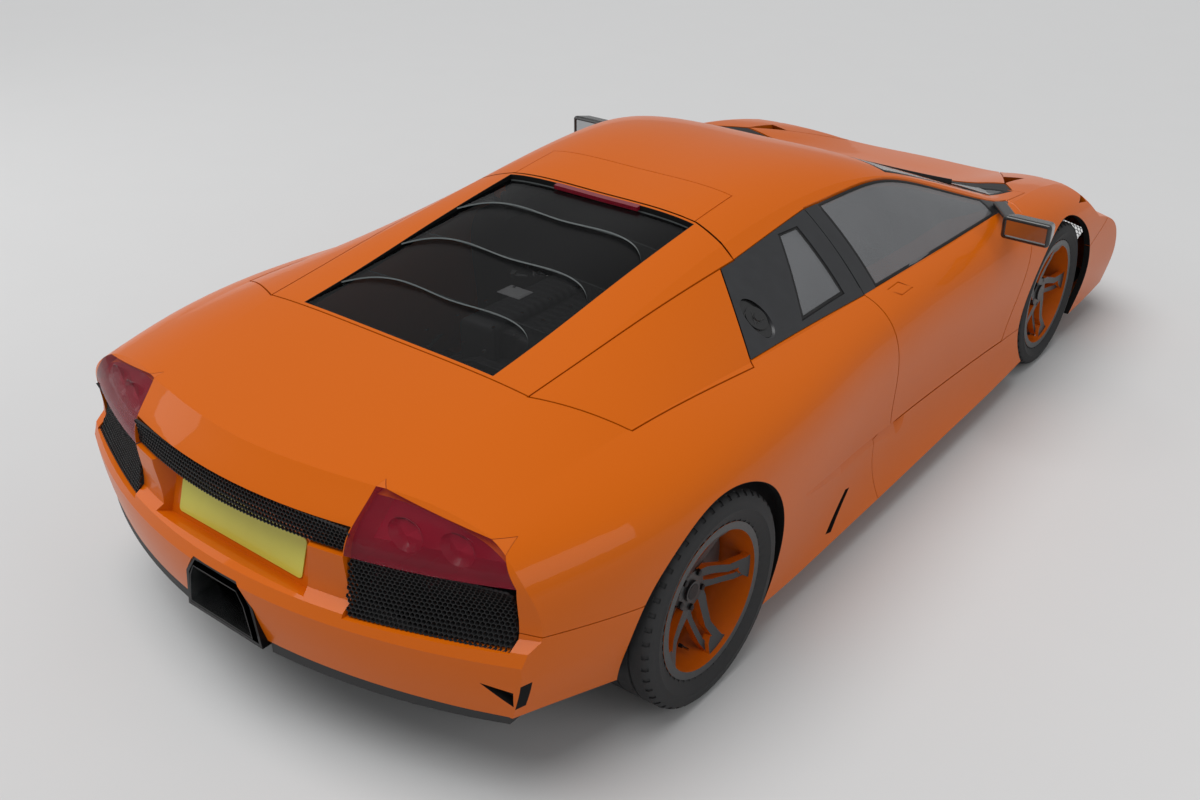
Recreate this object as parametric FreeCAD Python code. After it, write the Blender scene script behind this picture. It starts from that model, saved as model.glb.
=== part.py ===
import FreeCAD
import Part
import math
import os

# Frame: +Z up, ground at zero, nose towards -Y, the car's right side towards -X,
# origin on the ground under the middle of the car. Millimetres.

# Driving dimensions
body_length = 4610.0
body_width = 2058.0
body_height = 1135.0
wheelbase = 2665.0
front_overhang = 1040.0
front_track = 1635.0
rear_track = 1695.0
rim_diameter = 457.2
front_tyre_width = 245.0
front_tyre_height = 86.0
rear_tyre_width = 335.0
rear_tyre_height = 100.5
skin = 26.0
glass_thickness = 6.0
door_thickness = 95.0
# Clearances: between a moving panel and its frame, between fixed panels, in a glued or clipped seat, round a pin
shut_gap = 5.0
seam_gap = 3.0
seat_gap = 0.4
pin_gap = 0.05
overrun = 60.0

half_width = body_width / 2
half_length = body_length / 2
y_nose = -half_length
y_tail = half_length
y_front_axle = y_nose + front_overhang
y_rear_axle = y_front_axle + wheelbase
front_tyre_r = rim_diameter / 2 + front_tyre_height
rear_tyre_r = rim_diameter / 2 + rear_tyre_height
x_front_wheel = front_track / 2
x_rear_wheel = rear_track / 2
z_sky = body_height + overrun
x_far = half_width + overrun


def at(x, y, z):
    return FreeCAD.Vector(x, y, z)


def mirrored(shape):
    """The same piece on the other side of the car."""
    return shape.mirror(at(0, 0, 0), at(1, 0, 0))


def pair(left):
    """A piece and its mirror image, as two solids."""
    return Part.makeCompound([left, mirrored(left)])


def biggest(shape):
    """The biggest solid of a boolean result, without its slivers."""
    return max(shape.Solids, key=lambda solid: solid.Volume)


def box(low, high):
    return Part.makeBox(high[0] - low[0], high[1] - low[1], high[2] - low[2], at(*low))


def fused(shapes):
    first, *rest = shapes
    return first.fuse(rest).removeSplitter() if rest else first


def wire(points, place):
    """A closed outline. An entry that is a pair of points is an arc through the first to the second."""
    edges = []
    here = points[0]
    for entry in points[1:] + [points[0]]:
        if isinstance(entry[0], tuple):
            via, there = entry
            edges.append(Part.Arc(place(*here), place(*via), place(*there)).toShape())
        else:
            there = entry
            if math.dist(here, there) > 0:
                edges.append(Part.makeLine(place(*here), place(*there)))
        here = there
    return Part.Wire(edges)


def side_prism(points, x_low, x_high):
    """An outline in the side view, as (y, z), given a width across the car."""
    face = Part.Face(wire(points, lambda y, z: at(x_low, y, z)))
    return face.extrude(at(x_high - x_low, 0, 0))


def top_prism(points, z_low=0.0, z_high=z_sky):
    """An outline in the top view, as (x, y), given a height."""
    face = Part.Face(wire(points, lambda x, y: at(x, y, z_low)))
    return face.extrude(at(0, 0, z_high - z_low))


def end_prism(points, y_low, y_high):
    """An outline seen along the car, as (x, z), given a length."""
    face = Part.Face(wire(points, lambda x, z: at(x, y_low, z)))
    return face.extrude(at(0, y_high - y_low, 0))


def rod(radius, start, end):
    run = end - start
    return Part.makeCylinder(radius, run.Length, start, run)


# Body surface.
# Each row is one cross-section of the body from its nose to its tail. The first number is a share of the body
# length, and each pair is a share of the half width and a share of the height: sill, lower side, widest side,
# roll over the wheels, shoulder under the glass, rail at the roof's side. The last is the height on the centreline.
section_shares = [
    (-0.020, (0.875, 0.120), (0.905, 0.200), (0.913, 0.290), (0.875, 0.380), (0.740, 0.415), (0.410, 0.402), 0.392),
    (0.050, (0.900, 0.115), (0.923, 0.210), (0.928, 0.326), (0.885, 0.440), (0.750, 0.492), (0.420, 0.477), 0.467),
    (0.140, (0.914, 0.110), (0.933, 0.230), (0.938, 0.388), (0.890, 0.537), (0.758, 0.592), (0.440, 0.565), 0.545),
    (0.225, (0.918, 0.106), (0.938, 0.247), (0.945, 0.441), (0.895, 0.600), (0.768, 0.660), (0.545, 0.637), 0.619),
    (0.290, (0.928, 0.104), (0.918, 0.247), (0.928, 0.458), (0.892, 0.617), (0.789, 0.685), (0.695, 0.696), 0.715),
    (0.370, (0.938, 0.101), (0.904, 0.247), (0.918, 0.467), (0.889, 0.621), (0.795, 0.692), (0.632, 0.815), 0.842),
    (0.450, (0.943, 0.101), (0.902, 0.247), (0.915, 0.469), (0.886, 0.627), (0.792, 0.698), (0.562, 0.916), 0.956),
    (0.520, (0.948, 0.101), (0.904, 0.247), (0.921, 0.471), (0.889, 0.634), (0.785, 0.705), (0.520, 0.946), 0.996),
    (0.590, (0.952, 0.101), (0.915, 0.251), (0.938, 0.476), (0.899, 0.641), (0.779, 0.710), (0.500, 0.938), 0.986),
    (0.660, (0.957, 0.104), (0.943, 0.256), (0.967, 0.483), (0.923, 0.648), (0.777, 0.719), (0.495, 0.910), 0.948),
    (0.735, (0.960, 0.112), (0.976, 0.268), (0.991, 0.489), (0.943, 0.656), (0.773, 0.737), (0.505, 0.868), 0.895),
    (0.805, (0.950, 0.150), (0.984, 0.300), (0.999, 0.493), (0.948, 0.663), (0.763, 0.749), (0.510, 0.826), 0.840),
    (0.870, (0.915, 0.210), (0.952, 0.330), (0.970, 0.493), (0.925, 0.656), (0.745, 0.742), (0.490, 0.793), 0.800),
    (0.940, (0.845, 0.262), (0.876, 0.352), (0.890, 0.489), (0.848, 0.639), (0.716, 0.712), (0.446, 0.752), 0.757),
    (1.020, (0.745, 0.285), (0.772, 0.362), (0.785, 0.476), (0.748, 0.608), (0.660, 0.674), (0.428, 0.708), 0.716),
]
side_params = [0.0, 0.22, 0.55, 0.82, 1.0]
upper_params = [0.0, 0.5, 1.0]
top_params = [0.0, 0.16, 0.5, 0.84, 1.0]
shelf_share = 0.72
shelf_drop_share = 0.22
upper_bulge_share = 0.035


def rows_inset(inset):
    """The section rows in millimetres, each point moved inwards by the inset, square to its neighbours."""
    rows = []
    for share, *pairs, crown in section_shares:
        y = y_nose + share * body_length
        points = [(w * half_width, z * body_height) for w, z in pairs]
        chain = points + [(0.0, crown * body_height)]
        moved = [(points[0][0] - inset, points[0][1] + inset)]
        for before, here, after in zip(chain[:-2], chain[1:-1], chain[2:]):
            run = (after[0] - before[0], after[1] - before[1])
            size = math.hypot(*run)
            moved.append((here[0] - inset * run[1] / size, here[1] + inset * run[0] / size))
        rows.append((y, moved, crown * body_height - inset))
    return rows


def fitted(points, params):
    curve = Part.BSplineCurve()
    curve.interpolate(Points=points, Parameters=params)
    return curve


def straight(a, b):
    curve = Part.BSplineCurve()
    curve.buildFromPoles([a, b], False, 1)
    return curve


def section_curves(row, sign):
    """Side and upper curve of one half, from the sill up to the rail."""
    y, points, crown = row
    ring = [at(sign * w, y, z) for w, z in points]
    shoulder, rail = ring[4], ring[5]
    span = rail - shoulder
    bulge = at(sign * abs(span.z), 0, abs(span.x)) * upper_bulge_share
    middle = shoulder + span / 2 + bulge
    return fitted(ring[:5], side_params), fitted([shoulder, middle, rail], upper_params)


def section_top(row):
    y, points, crown = row
    rail_w, rail_z = points[5]
    shelf_z = crown - shelf_drop_share * (crown - rail_z)
    return fitted(
        [
            at(-rail_w, y, rail_z),
            at(-rail_w * shelf_share, y, shelf_z),
            at(0, y, crown),
            at(rail_w * shelf_share, y, shelf_z),
            at(rail_w, y, rail_z),
        ],
        top_params,
    )


def section_floor(row):
    y, points, crown = row
    w, z = points[0]
    return straight(at(-w, y, z), at(w, y, z))


def skinned(curves, places):
    """One smooth face through curves that share their knots, spaced as their places along the car or in height."""
    params = [(place - places[0]) / (places[-1] - places[0]) for place in places]
    columns = [fitted([c.getPole(j + 1) for c in curves], params) for j in range(curves[0].NbPoles)]
    surface = Part.BSplineSurface()
    surface.buildFromPolesMultsKnots(
        [column.getPoles() for column in columns],
        curves[0].getMultiplicities(),
        columns[0].getMultiplicities(),
        curves[0].getKnots(),
        columns[0].getKnots(),
        False,
        False,
        curves[0].Degree,
        columns[0].Degree,
    )
    return surface.toShape()


def closed_solid(faces):
    shell = Part.Shell(faces)
    shell.sewShape()
    solid = Part.Solid(shell)
    if solid.Volume < 0:
        solid.reverse()
    return solid


def long_body(inset):
    """The body's cross-sections run through from before the nose to behind the tail."""
    rows = rows_inset(inset)
    ys = [row[0] for row in rows]
    rings = []
    for row in rows:
        left_side, left_upper = section_curves(row, 1)
        right_side, right_upper = section_curves(row, -1)
        rings.append([section_floor(row), left_side, left_upper, section_top(row), right_upper, right_side])
    faces = [skinned([ring[k] for ring in rings], ys) for k in range(len(rings[0]))]
    for ring in (rings[0], rings[-1]):
        faces.append(Part.Face(Part.Wire(Part.__sortEdges__([curve.toShape() for curve in ring]))))
    return closed_solid(faces)


# The bowed end faces. Each row is a share of the body height and the share of half the length that the bow's
# middle reaches at that height. A new group starts where the real face has a crease.
nose_group_shares = [
    [(0.040, 0.945), (0.097, 0.978), (0.176, 0.993), (0.264, 1.000), (0.352, 0.989), (0.414, 0.954), (0.476, 0.868)],
    [(0.476, 0.868), (1.080, 0.500)],
]
tail_group_shares = [
    [(0.040, 0.960), (0.273, 0.989), (0.396, 0.999), (0.430, 1.000)],
    [(0.430, 1.000), (0.462, 0.994)],
    [(0.462, 0.994), (0.480, 0.980)],
    [(0.480, 0.980), (0.603, 0.981), (0.666, 0.971), (0.692, 0.960), (0.746, 0.936)],
    [(0.746, 0.936), (1.080, 0.700)],
]
nose_bow = 340.0
tail_bow = 290.0
bow_reach_share = 1.06


def end_block(groups, bow, forward, inset):
    """Everything on the car's side of a bowed end face. forward is -1 at the nose and 1 at the tail."""
    reach = half_width * bow_reach_share
    sag = bow * bow_reach_share ** 2
    far = -forward * (half_length + overrun)
    faces = []
    rims = {-1: [], 1: []}
    bows = []
    for group in groups:
        curves = []
        for z_share, y_share in group:
            y = forward * (y_share * half_length - inset)
            z = z_share * body_height
            curve = Part.BSplineCurve()
            back = y - forward * sag
            curve.buildFromPoles([at(-reach, back, z), at(0, y + forward * sag, z), at(reach, back, z)], False, 2)
            curves.append(curve)
        heights = [z_share * body_height for z_share, y_share in group]
        params = [(z - heights[0]) / (heights[-1] - heights[0]) for z in heights]
        faces.append(skinned(curves, heights))
        for sign in rims:
            index = 1 if sign < 0 else curves[0].NbPoles
            rims[sign].append(fitted([c.getPole(index) for c in curves], params).toShape())
        bows += curves
    low, high = bows[0], bows[-1]
    z_low, z_high = groups[0][0][0] * body_height, groups[-1][-1][0] * body_height
    for sign in (-1, 1):
        index = 1 if sign < 0 else low.NbPoles
        corners = [low.getPole(index), at(sign * reach, far, z_low), at(sign * reach, far, z_high), high.getPole(index)]
        edges = [Part.makeLine(a, b) for a, b in zip(corners[:-1], corners[1:])]
        faces.append(Part.Face(Part.Wire(Part.__sortEdges__(edges + rims[sign]))))
    for curve, z in ((low, z_low), (high, z_high)):
        corners = [curve.getPole(1), at(-reach, far, z), at(reach, far, z), curve.getPole(curve.NbPoles)]
        edges = [Part.makeLine(a, b) for a, b in zip(corners[:-1], corners[1:])]
        faces.append(Part.Face(Part.Wire(Part.__sortEdges__(edges + [curve.toShape()]))))
    faces.append(Part.Face(Part.makePolygon([
        at(-reach, far, z_low), at(reach, far, z_low), at(reach, far, z_high), at(-reach, far, z_high),
        at(-reach, far, z_low),
    ])))
    return closed_solid(faces)


hulls = {}


def hull(inset):
    """The whole outside of the car as one solid, its surface moved inwards by the inset."""
    if inset not in hulls:
        nose = end_block(nose_group_shares, nose_bow, -1, inset)
        tail = end_block(tail_group_shares, tail_bow, 1, inset)
        hulls[inset] = biggest(long_body(inset).common(nose).common(tail))
    return hulls[inset]


def layer(outer_inset, inner_inset):
    """A skin that follows the body."""
    return hull(outer_inset).cut(hull(inner_inset))


def skin_height(x, y):
    """Height of the outer surface at a place seen from above."""
    line = Part.makeLine(at(x, y, belt_height / 2), at(x, y, z_sky))
    return hull(0.0).common(line).BoundBox.ZMax


def skin_side(y, z, inset=0.0):
    """Half width of the surface at a place seen from the side."""
    line = Part.makeLine(at(0, y, z), at(x_far, y, z))
    return hull(inset).common(line).BoundBox.XMax


# Where the panels part, in the side view: places behind the front axle, and heights.
door_hinge_back = 225.0
door_hinge_height = 690.0
door_front_radius = 108.0
door_toe_back = 503.0
door_toe_height = 290.0
door_heel_height = 338.0
door_rear_radius = 1290.0
door_top_back = 1520.0
belt_height = 786.0
y_door_hinge = y_front_axle + door_hinge_back
x_door_inner_share = 0.45


def angle_point(centre, radius, angle):
    return (centre[0] + radius * math.cos(angle), centre[1] + radius * math.sin(angle))


def door_outline(grow):
    """Side view of the door and its window. The front is round its hinge and the rear is an arc about the hinge,
    so that the door swings up past its frame. grow widens it all round."""
    hinge = (y_door_hinge, door_hinge_height)
    front_r = door_front_radius - grow
    rear_r = door_rear_radius + grow
    toe = (y_front_axle + door_toe_back - grow, door_toe_height - grow)
    toe_angle = math.atan2(toe[1] - hinge[1], toe[0] - hinge[0])
    tangent = toe_angle + math.acos(front_r / math.dist(hinge, toe))
    top_angle = math.pi / 2
    front_middle = (tangent + top_angle) / 2
    heel_z = door_heel_height - grow
    heel_angle = math.asin((heel_z - hinge[1]) / rear_r)
    belt_angle = math.asin((belt_height - hinge[1]) / rear_r)
    rear_middle = (heel_angle + belt_angle) / 2
    front_top = angle_point(hinge, front_r, top_angle)
    return [
        (front_top[0], z_sky),
        front_top,
        (angle_point(hinge, front_r, front_middle), angle_point(hinge, front_r, tangent)),
        toe,
        angle_point(hinge, rear_r, heel_angle),
        (angle_point(hinge, rear_r, rear_middle), angle_point(hinge, rear_r, belt_angle)),
        (y_front_axle + door_top_back + grow, z_sky),
    ]


# The line between roof and door, as shares: distance from the hinge over the door's rear radius, and half width.
rail_share_points = [(0.000, 0.756), (0.095, 0.753), (0.192, 0.726), (0.388, 0.648), (0.684, 0.568), (0.928, 0.545),
                     (1.050, 0.533), (1.400, 0.500)]


def rail_spindle(grow):
    """What lies inside the roof line, round the doors' hinge line. It keeps roof and open door apart."""
    line = [at(w * half_width + grow, y_door_hinge + r * door_rear_radius, door_hinge_height)
            for r, w in rail_share_points]
    first, last = line[0], line[-1]
    curve = Part.BSplineCurve()
    curve.interpolate(line)
    edges = [
        Part.makeLine(at(0, first.y, first.z), first),
        curve.toShape(),
        Part.makeLine(last, at(0, last.y, last.z)),
        Part.makeLine(at(0, last.y, last.z), at(0, first.y, first.z)),
    ]
    half = Part.Face(Part.Wire(edges)).revolve(at(0, y_door_hinge, door_hinge_height), at(1, 0, 0), 360)
    return half.fuse(mirrored(half))


def door_room(grow, roof_gap=0.0):
    """The whole space of the left door, grown by a gap, and outside the roof's line by another."""
    zone = side_prism(door_outline(grow), x_door_inner_share * half_width, x_far)
    return zone.cut(rail_spindle(roof_gap))


# Top view of the roof with its two rear strips, the engine lid, the intake flaps and the bonnet.
windscreen_top_back = 953.0
windscreen_top_bow = 75.0
windscreen_top_half = 562.0
windscreen_foot_back = 100.0
windscreen_foot_bow = 150.0
windscreen_foot_half = 738.0
lid_front_back = 1914.0
lid_shoulder_back = 1956.0
lid_front_half = 388.0
lid_shoulder_half = 559.0
lid_rear_back = 2882.0
lid_rear_half = 525.0
lid_glass_front_back = 1926.0
lid_glass_rear_back = 2868.0
lid_glass_half = 386.0
roof_side_half = 552.0
flap_front_inner_back = 2030.0
flap_front_outer_back = 2222.0
flap_outer_half = 814.0
flap_rear_outer_back = 2770.0
flap_rear_outer_half = 785.0
bonnet_nose_half = 330.0
bonnet_nose_ahead = 790.0
bonnet_rear_half = 640.0
bonnet_rear_back = -60.0


def behind_axle(distance):
    return y_front_axle + distance


def windscreen_outline(grow):
    top = behind_axle(windscreen_top_back) + grow
    foot = behind_axle(windscreen_foot_back) - grow
    top_half = windscreen_top_half + grow
    foot_half = windscreen_foot_half + grow
    return [
        (-foot_half, foot),
        ((0, foot - windscreen_foot_bow), (foot_half, foot)),
        (top_half, top),
        ((0, top - windscreen_top_bow), (-top_half, top)),
    ]


def roof_outline(grow):
    """The roof skin as seen from above, from the windscreen's foot to the engine lid."""
    front = behind_axle(windscreen_foot_back) - windscreen_foot_bow
    side = half_width * rail_share_points[0][1] + shut_gap
    strip_front = behind_axle(door_top_back)
    half = [
        (side + grow, front),
        (side + grow, strip_front),
        (roof_side_half + grow, strip_front),
        (lid_shoulder_half + grow, behind_axle(lid_shoulder_back) + grow),
    ]
    return half + [(-x, y) for x, y in reversed(half)]


def lid_outline(grow):
    """The engine lid with its painted side strips. Its front corners are cut back."""
    half = [
        (lid_rear_half + grow, behind_axle(lid_rear_back) + grow),
        (lid_shoulder_half + grow, behind_axle(lid_shoulder_back) - grow),
        (lid_front_half + grow, behind_axle(lid_front_back) - grow),
    ]
    return half + [(-x, y) for x, y in reversed(half)]


def lid_edge_half(y):
    """The lid's half width at a place along the car, behind its cut corners."""
    run = lid_rear_back - lid_shoulder_back
    part_way = (y - behind_axle(lid_shoulder_back)) / run
    return lid_shoulder_half + (lid_rear_half - lid_shoulder_half) * part_way


def spread(corners, grow):
    """A polygon, given anticlockwise, with each side moved outwards by the same distance."""
    sides = []
    for (x1, y1), (x2, y2) in zip(corners, corners[1:] + corners[:1]):
        length = math.hypot(x2 - x1, y2 - y1)
        across, along = (y2 - y1) / length, (x1 - x2) / length
        sides.append((across, along, across * x1 + along * y1 + grow))
    moved = []
    for (a1, b1, c1), (a2, b2, c2) in zip(sides[-1:] + sides[:-1], sides):
        cross = a1 * b2 - a2 * b1
        moved.append(((c1 * b2 - c2 * b1) / cross, (a1 * c2 - a2 * c1) / cross))
    return moved


def flap_outline(grow):
    front, rear = behind_axle(flap_front_inner_back), behind_axle(lid_rear_back)
    return spread([
        (lid_edge_half(front) + shut_gap, front),
        (flap_outer_half, behind_axle(flap_front_outer_back)),
        (flap_rear_outer_half, behind_axle(flap_rear_outer_back)),
        (lid_edge_half(rear) + shut_gap, rear),
    ], grow)


def bonnet_outline(grow):
    nose = y_front_axle - bonnet_nose_ahead - grow
    rear = behind_axle(bonnet_rear_back) + grow
    half_nose = bonnet_nose_half + grow
    half_rear = bonnet_rear_half + grow
    return [(-half_rear, rear), (-half_nose, nose), (half_nose, nose), (half_rear, rear)]


# Side view of the black quarter panel behind the door, and its window.
quarter_rear_top_back = 2001.0
quarter_rear_foot_back = 2203.0
quarter_foot_height = 803.0
quarter_rear_foot_height = 832.0
quarter_glass_front_back = 1609.0
quarter_glass_top_back = 1711.0
quarter_glass_rear_back = 1879.0
quarter_glass_foot_height = 834.0
quarter_glass_top_height = 1021.0
cap_radius = 47.0
cap_back = 2050.0
cap_height = 888.0


def quarter_outline(grow):
    """From the door's edge back, between the roof strip and the shoulder."""
    return [
        (behind_axle(door_top_back) - overrun, quarter_foot_height - grow),
        (behind_axle(quarter_rear_foot_back) + grow, quarter_rear_foot_height - grow),
        (behind_axle(quarter_rear_top_back) + grow, z_sky),
        (behind_axle(door_top_back) - overrun, z_sky),
    ]


def quarter_glass_outline(grow):
    return [
        (behind_axle(quarter_glass_front_back) - grow, quarter_glass_foot_height - grow),
        (behind_axle(quarter_glass_rear_back) + grow, quarter_glass_foot_height - grow),
        (behind_axle(quarter_glass_top_back) + grow, quarter_glass_top_height + grow),
        (behind_axle(quarter_glass_front_back) - grow, quarter_glass_top_height + grow),
    ]


# Wheels' room in the body. The front wheels steer about a kingpin a little inboard of the wheel's middle.
arch_gap = 30.0
steer_gap = 12.0
kingpin_inset = 40.0
arch_lip_inset = 120.0
x_kingpin = x_front_wheel - kingpin_inset
front_room_r = math.hypot(front_tyre_r, front_tyre_width / 2 + kingpin_inset) + steer_gap
front_room_top = 2 * front_tyre_r + 2 * steer_gap
x_arch_inner = half_width - arch_lip_inset


def wheel_room():
    """Space round the two left wheels that everything fixed stays out of."""
    front_lip = Part.makeCylinder(front_tyre_r + arch_gap, x_far - x_kingpin,
                                  at(x_kingpin, y_front_axle, front_tyre_r), at(1, 0, 0))
    steer = Part.makeCylinder(front_room_r, front_room_top, at(x_kingpin, y_front_axle, 0))
    steer = steer.common(box((0, y_nose, -overrun), (x_arch_inner, y_tail, front_room_top)))
    x_inner = x_rear_wheel - rear_tyre_width / 2 - steer_gap
    rear = Part.makeCylinder(rear_tyre_r + arch_gap, x_far - x_inner,
                             at(x_inner, y_rear_axle, rear_tyre_r), at(1, 0, 0))
    return front_lip.fuse([steer, rear])


# Panel seams in the side view and along the car.
bumper_foot_ahead = 250.0
bumper_seam_low = 430.0
bumper_seam_high = 545.0
sill_top_front = 284.0
sill_top_rear = 332.0
sill_rear_back = 1595.0
floor_half = 850.0
rear_seam_front_back = 2990.0
rear_seam_front_height = 500.0
rear_seam_rear_back = 3342.0
rear_seam_rear_height = 571.0
tail_zone_back = 3120.0

y_tail_zone = behind_axle(tail_zone_back)
skins = {}


def skin_half():
    """The left half of the painted skin, open at the wheels."""
    if "left" not in skins:
        half = layer(0.0, skin).common(box((0, y_nose - overrun, 0), (x_far, y_tail + overrun, z_sky)))
        skins["left"] = half.cut(wheel_room())
    return skins["left"]


def floor_band(grow):
    """The flat underside between the sills and bumpers. Its own panel closes it."""
    side = floor_half + grow
    rise = skin + floor_clear + grow
    line = [(y_nose + row[0] * body_length, row[1][1] * body_height + rise) for row in section_shares]
    low = [(y_tail + overrun, 0.0), (y_nose - overrun, 0.0)]
    band = side_prism(line + low, -side, side)
    nose = end_block(nose_group_shares, nose_bow, -1, skin + floor_clear - grow)
    tail = end_block(tail_group_shares, tail_bow, 1, skin + floor_clear - grow)
    return band.common(nose).common(tail)


floor_clear = 8.0


def bumper_zone(grow):
    """Side view of all that belongs to the front bumper."""
    return side_prism([
        (y_nose - overrun, 0.0),
        (y_front_axle - bumper_foot_ahead + grow, 0.0),
        (y_front_axle - bumper_foot_ahead + grow, bumper_seam_low + grow),
        (y_front_axle - bonnet_nose_ahead - seam_gap + grow, bumper_seam_high + grow),
        (y_front_axle - bonnet_nose_ahead - seam_gap + grow, z_sky),
        (y_nose - overrun, z_sky),
    ], -x_far, x_far)


def sill_zone(grow):
    return side_prism([
        (y_front_axle, 0.0),
        (y_front_axle, sill_top_front + grow),
        (behind_axle(door_toe_back), sill_top_front + grow),
        (y_door_hinge + door_rear_radius * math.cos(math.asin(
            (door_hinge_height - door_heel_height) / door_rear_radius)), sill_top_rear + grow),
        (behind_axle(sill_rear_back) + grow, sill_top_rear + grow),
        (behind_axle(sill_rear_back) + grow, 0.0),
    ], 0.0, x_far)


def cowl_zone(grow):
    """The black strip between bonnet and windscreen, where the wipers stand."""
    half = bonnet_rear_half + grow
    rear = behind_axle(bonnet_rear_back)
    foot = behind_axle(windscreen_foot_back)
    outer = windscreen_foot_half + grow
    return top_prism([(-half, rear - grow), (half, rear - grow), (outer, foot + grow), (-outer, foot + grow)],
                     bumper_seam_high)


# Bonnet hinge: across the car, under the bonnet's rear edge.
bonnet_hinge_ahead = 150.0
bonnet_hinge_height = 618.0
bonnet_lug_half = 364.0
bonnet_lug_width = 30.0


def swing_room(edge, y_hinge, z_hinge, grow):
    """What a lid's edge turns through about its hinge. The edge is given from the middle outwards, as (x, y)."""
    profile = [(x, math.hypot(y - y_hinge, skin_height(x, y) - z_hinge) + grow) for x, y in edge]
    x_end = edge[-1][0] + grow
    profile = [(0.0, 0.0)] + profile + [(x_end, profile[-1][1]), (x_end, 0.0)]
    face = Part.Face(wire(profile, lambda x, r: at(x, y_hinge, z_hinge + r)))
    half = face.revolve(at(0, y_hinge, z_hinge), at(1, 0, 0), 360)
    return half.fuse(mirrored(half))


bonnet_edge_stations = 8


def bonnet_block(grow):
    """The bonnet's place down to its hinge, and behind the hinge only where its rear edge is."""
    y_hinge = y_front_axle - bonnet_hinge_ahead
    ahead = box((-x_far, y_nose - overrun, 0), (x_far, y_hinge, z_sky))
    above = box((-x_far, y_hinge, bonnet_hinge_height), (x_far, 0, z_sky))
    return top_prism(bonnet_outline(grow)).common(ahead.fuse(above))


def bonnet_room(grow):
    """The bonnet's place and the space that its rear edge turns through about the hinge."""
    y_edge = behind_axle(bonnet_rear_back)
    edge = [(bonnet_rear_half * k / bonnet_edge_stations, y_edge) for k in range(bonnet_edge_stations + 1)]
    swing = swing_room(edge, y_front_axle - bonnet_hinge_ahead, bonnet_hinge_height, grow)
    return bonnet_block(grow).fuse(swing)


def bonnet():
    """Front lid with its two hinge lugs near its rear edge."""
    y, z = y_front_axle - bonnet_hinge_ahead, bonnet_hinge_height
    block = bonnet_block(0.0)
    lugs = [hinge_lug(y, z, sign * bonnet_lug_half, bonnet_lug_width, block) for sign in (-1, 1)]
    return biggest(biggest(layer(0.0, skin).common(block)).fuse(lugs))


def front_fenders():
    """Wing from the bumper back to the door, round the wheel and the headlamp."""
    wing = skin_half().common(box((0, y_nose, sill_top_front), (x_far, behind_axle(door_toe_back), z_sky)))
    cuts = [bumper_zone(seam_gap), sill_zone(seam_gap), bonnet_room(shut_gap), cowl_zone(seam_gap),
            door_room(shut_gap), top_prism(windscreen_outline(seam_gap)), top_prism(pillar_foot(seam_gap)),
            head_lamp_zone(seat_gap)]
    left = biggest(wing.cut(cuts))
    return pair(left)


# Windscreen pillars stand on the wings' rear ends.
pillar_foot_ahead = 12.0


def pillar_foot(grow):
    side = half_width * rail_share_points[0][1] + shut_gap
    front = behind_axle(windscreen_foot_back) - pillar_foot_ahead
    rear = behind_axle(windscreen_top_back)
    return [(0.0, front - grow), (side + grow, front - grow), (side + grow, rear), (0.0, rear)]


# Panel over the engine's air box, marked by a groove in the roof ahead of the lid, and the groove's size.
box_panel_ahead = 220.0
box_panel_half = 382.0
groove_width = 3.0
groove_depth = 3.0


def roof_groove():
    front, rear = behind_axle(lid_front_back) - box_panel_ahead, behind_axle(lid_front_back)
    outer = box((-box_panel_half, front, belt_height), (box_panel_half, rear, z_sky))
    inner = box((-box_panel_half + groove_width, front + groove_width, belt_height),
                (box_panel_half - groove_width, rear, z_sky))
    return outer.cut([inner, hull(groove_depth)])


def roof():
    """Roof skin, windscreen pillars and the two strips beside the engine lid, in one pressing."""
    zone = top_prism(roof_outline(0.0))
    foot = behind_axle(windscreen_foot_back) - pillar_foot_ahead
    above = box((-x_far, foot, belt_height - skin - overrun), (x_far, y_tail, z_sky))
    pressing = layer(0.0, skin).common(zone).common(above)
    cuts = [door_room(shut_gap), mirrored(door_room(shut_gap)), top_prism(windscreen_outline(seat_gap)),
            lid_room(shut_gap), roof_groove()]
    pressing = pressing.cut(cuts)
    return biggest(pressing)


# Engine lid hinge: across the car, under the lid's front corners.
lid_hinge_back = 1960.0
lid_hinge_height = 1008.0
lid_edge_stations = 6


def lid_zone(grow):
    return top_prism(lid_outline(grow), belt_height - overrun)


def lid_room(grow):
    """The engine lid's place and the space that its front edge turns through about the hinge."""
    if grow not in lid_rooms:
        y_front = behind_axle(lid_front_back)
        edge = [(lid_front_half * k / lid_edge_stations, y_front) for k in range(lid_edge_stations)]
        for k in range(lid_edge_stations + 1):
            share = k / lid_edge_stations
            back = lid_front_back + share * (lid_shoulder_back - lid_front_back)
            edge.append((lid_front_half + share * (lid_shoulder_half - lid_front_half), behind_axle(back)))
        swing = swing_room(edge, behind_axle(lid_hinge_back), lid_hinge_height, grow)
        lid_rooms[grow] = lid_zone(grow).fuse(swing)
    return lid_rooms[grow]


lid_rooms = {}

# Glass sits a little below the paint.
glass_inset = 3.0


def windscreen():
    return biggest(layer(glass_inset, glass_inset + glass_thickness).common(top_prism(windscreen_outline(0.0))))


def cowl():
    pillar = top_prism(pillar_foot(seam_gap))
    cuts = [bonnet_room(shut_gap), top_prism(windscreen_outline(seat_gap)), pillar, mirrored(pillar)]
    zone = cowl_zone(0.0).cut(cuts)
    return biggest(layer(glass_inset, skin).common(zone))


# Scoop along the sill, deepest under the door's rear edge: how far behind the front axle each section lies,
# the scoop's height there and its depth.
scoop_height = 66.0
scoop_depth = 20.0
scoop_share_points = [
    (0.19, 0.10, 0.10), (0.34, 0.45, 0.70), (0.53, 0.85, 1.00), (0.70, 0.70, 0.85), (0.815, 0.12, 0.12),
]
scoop_rear_rise = 120.0


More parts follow.
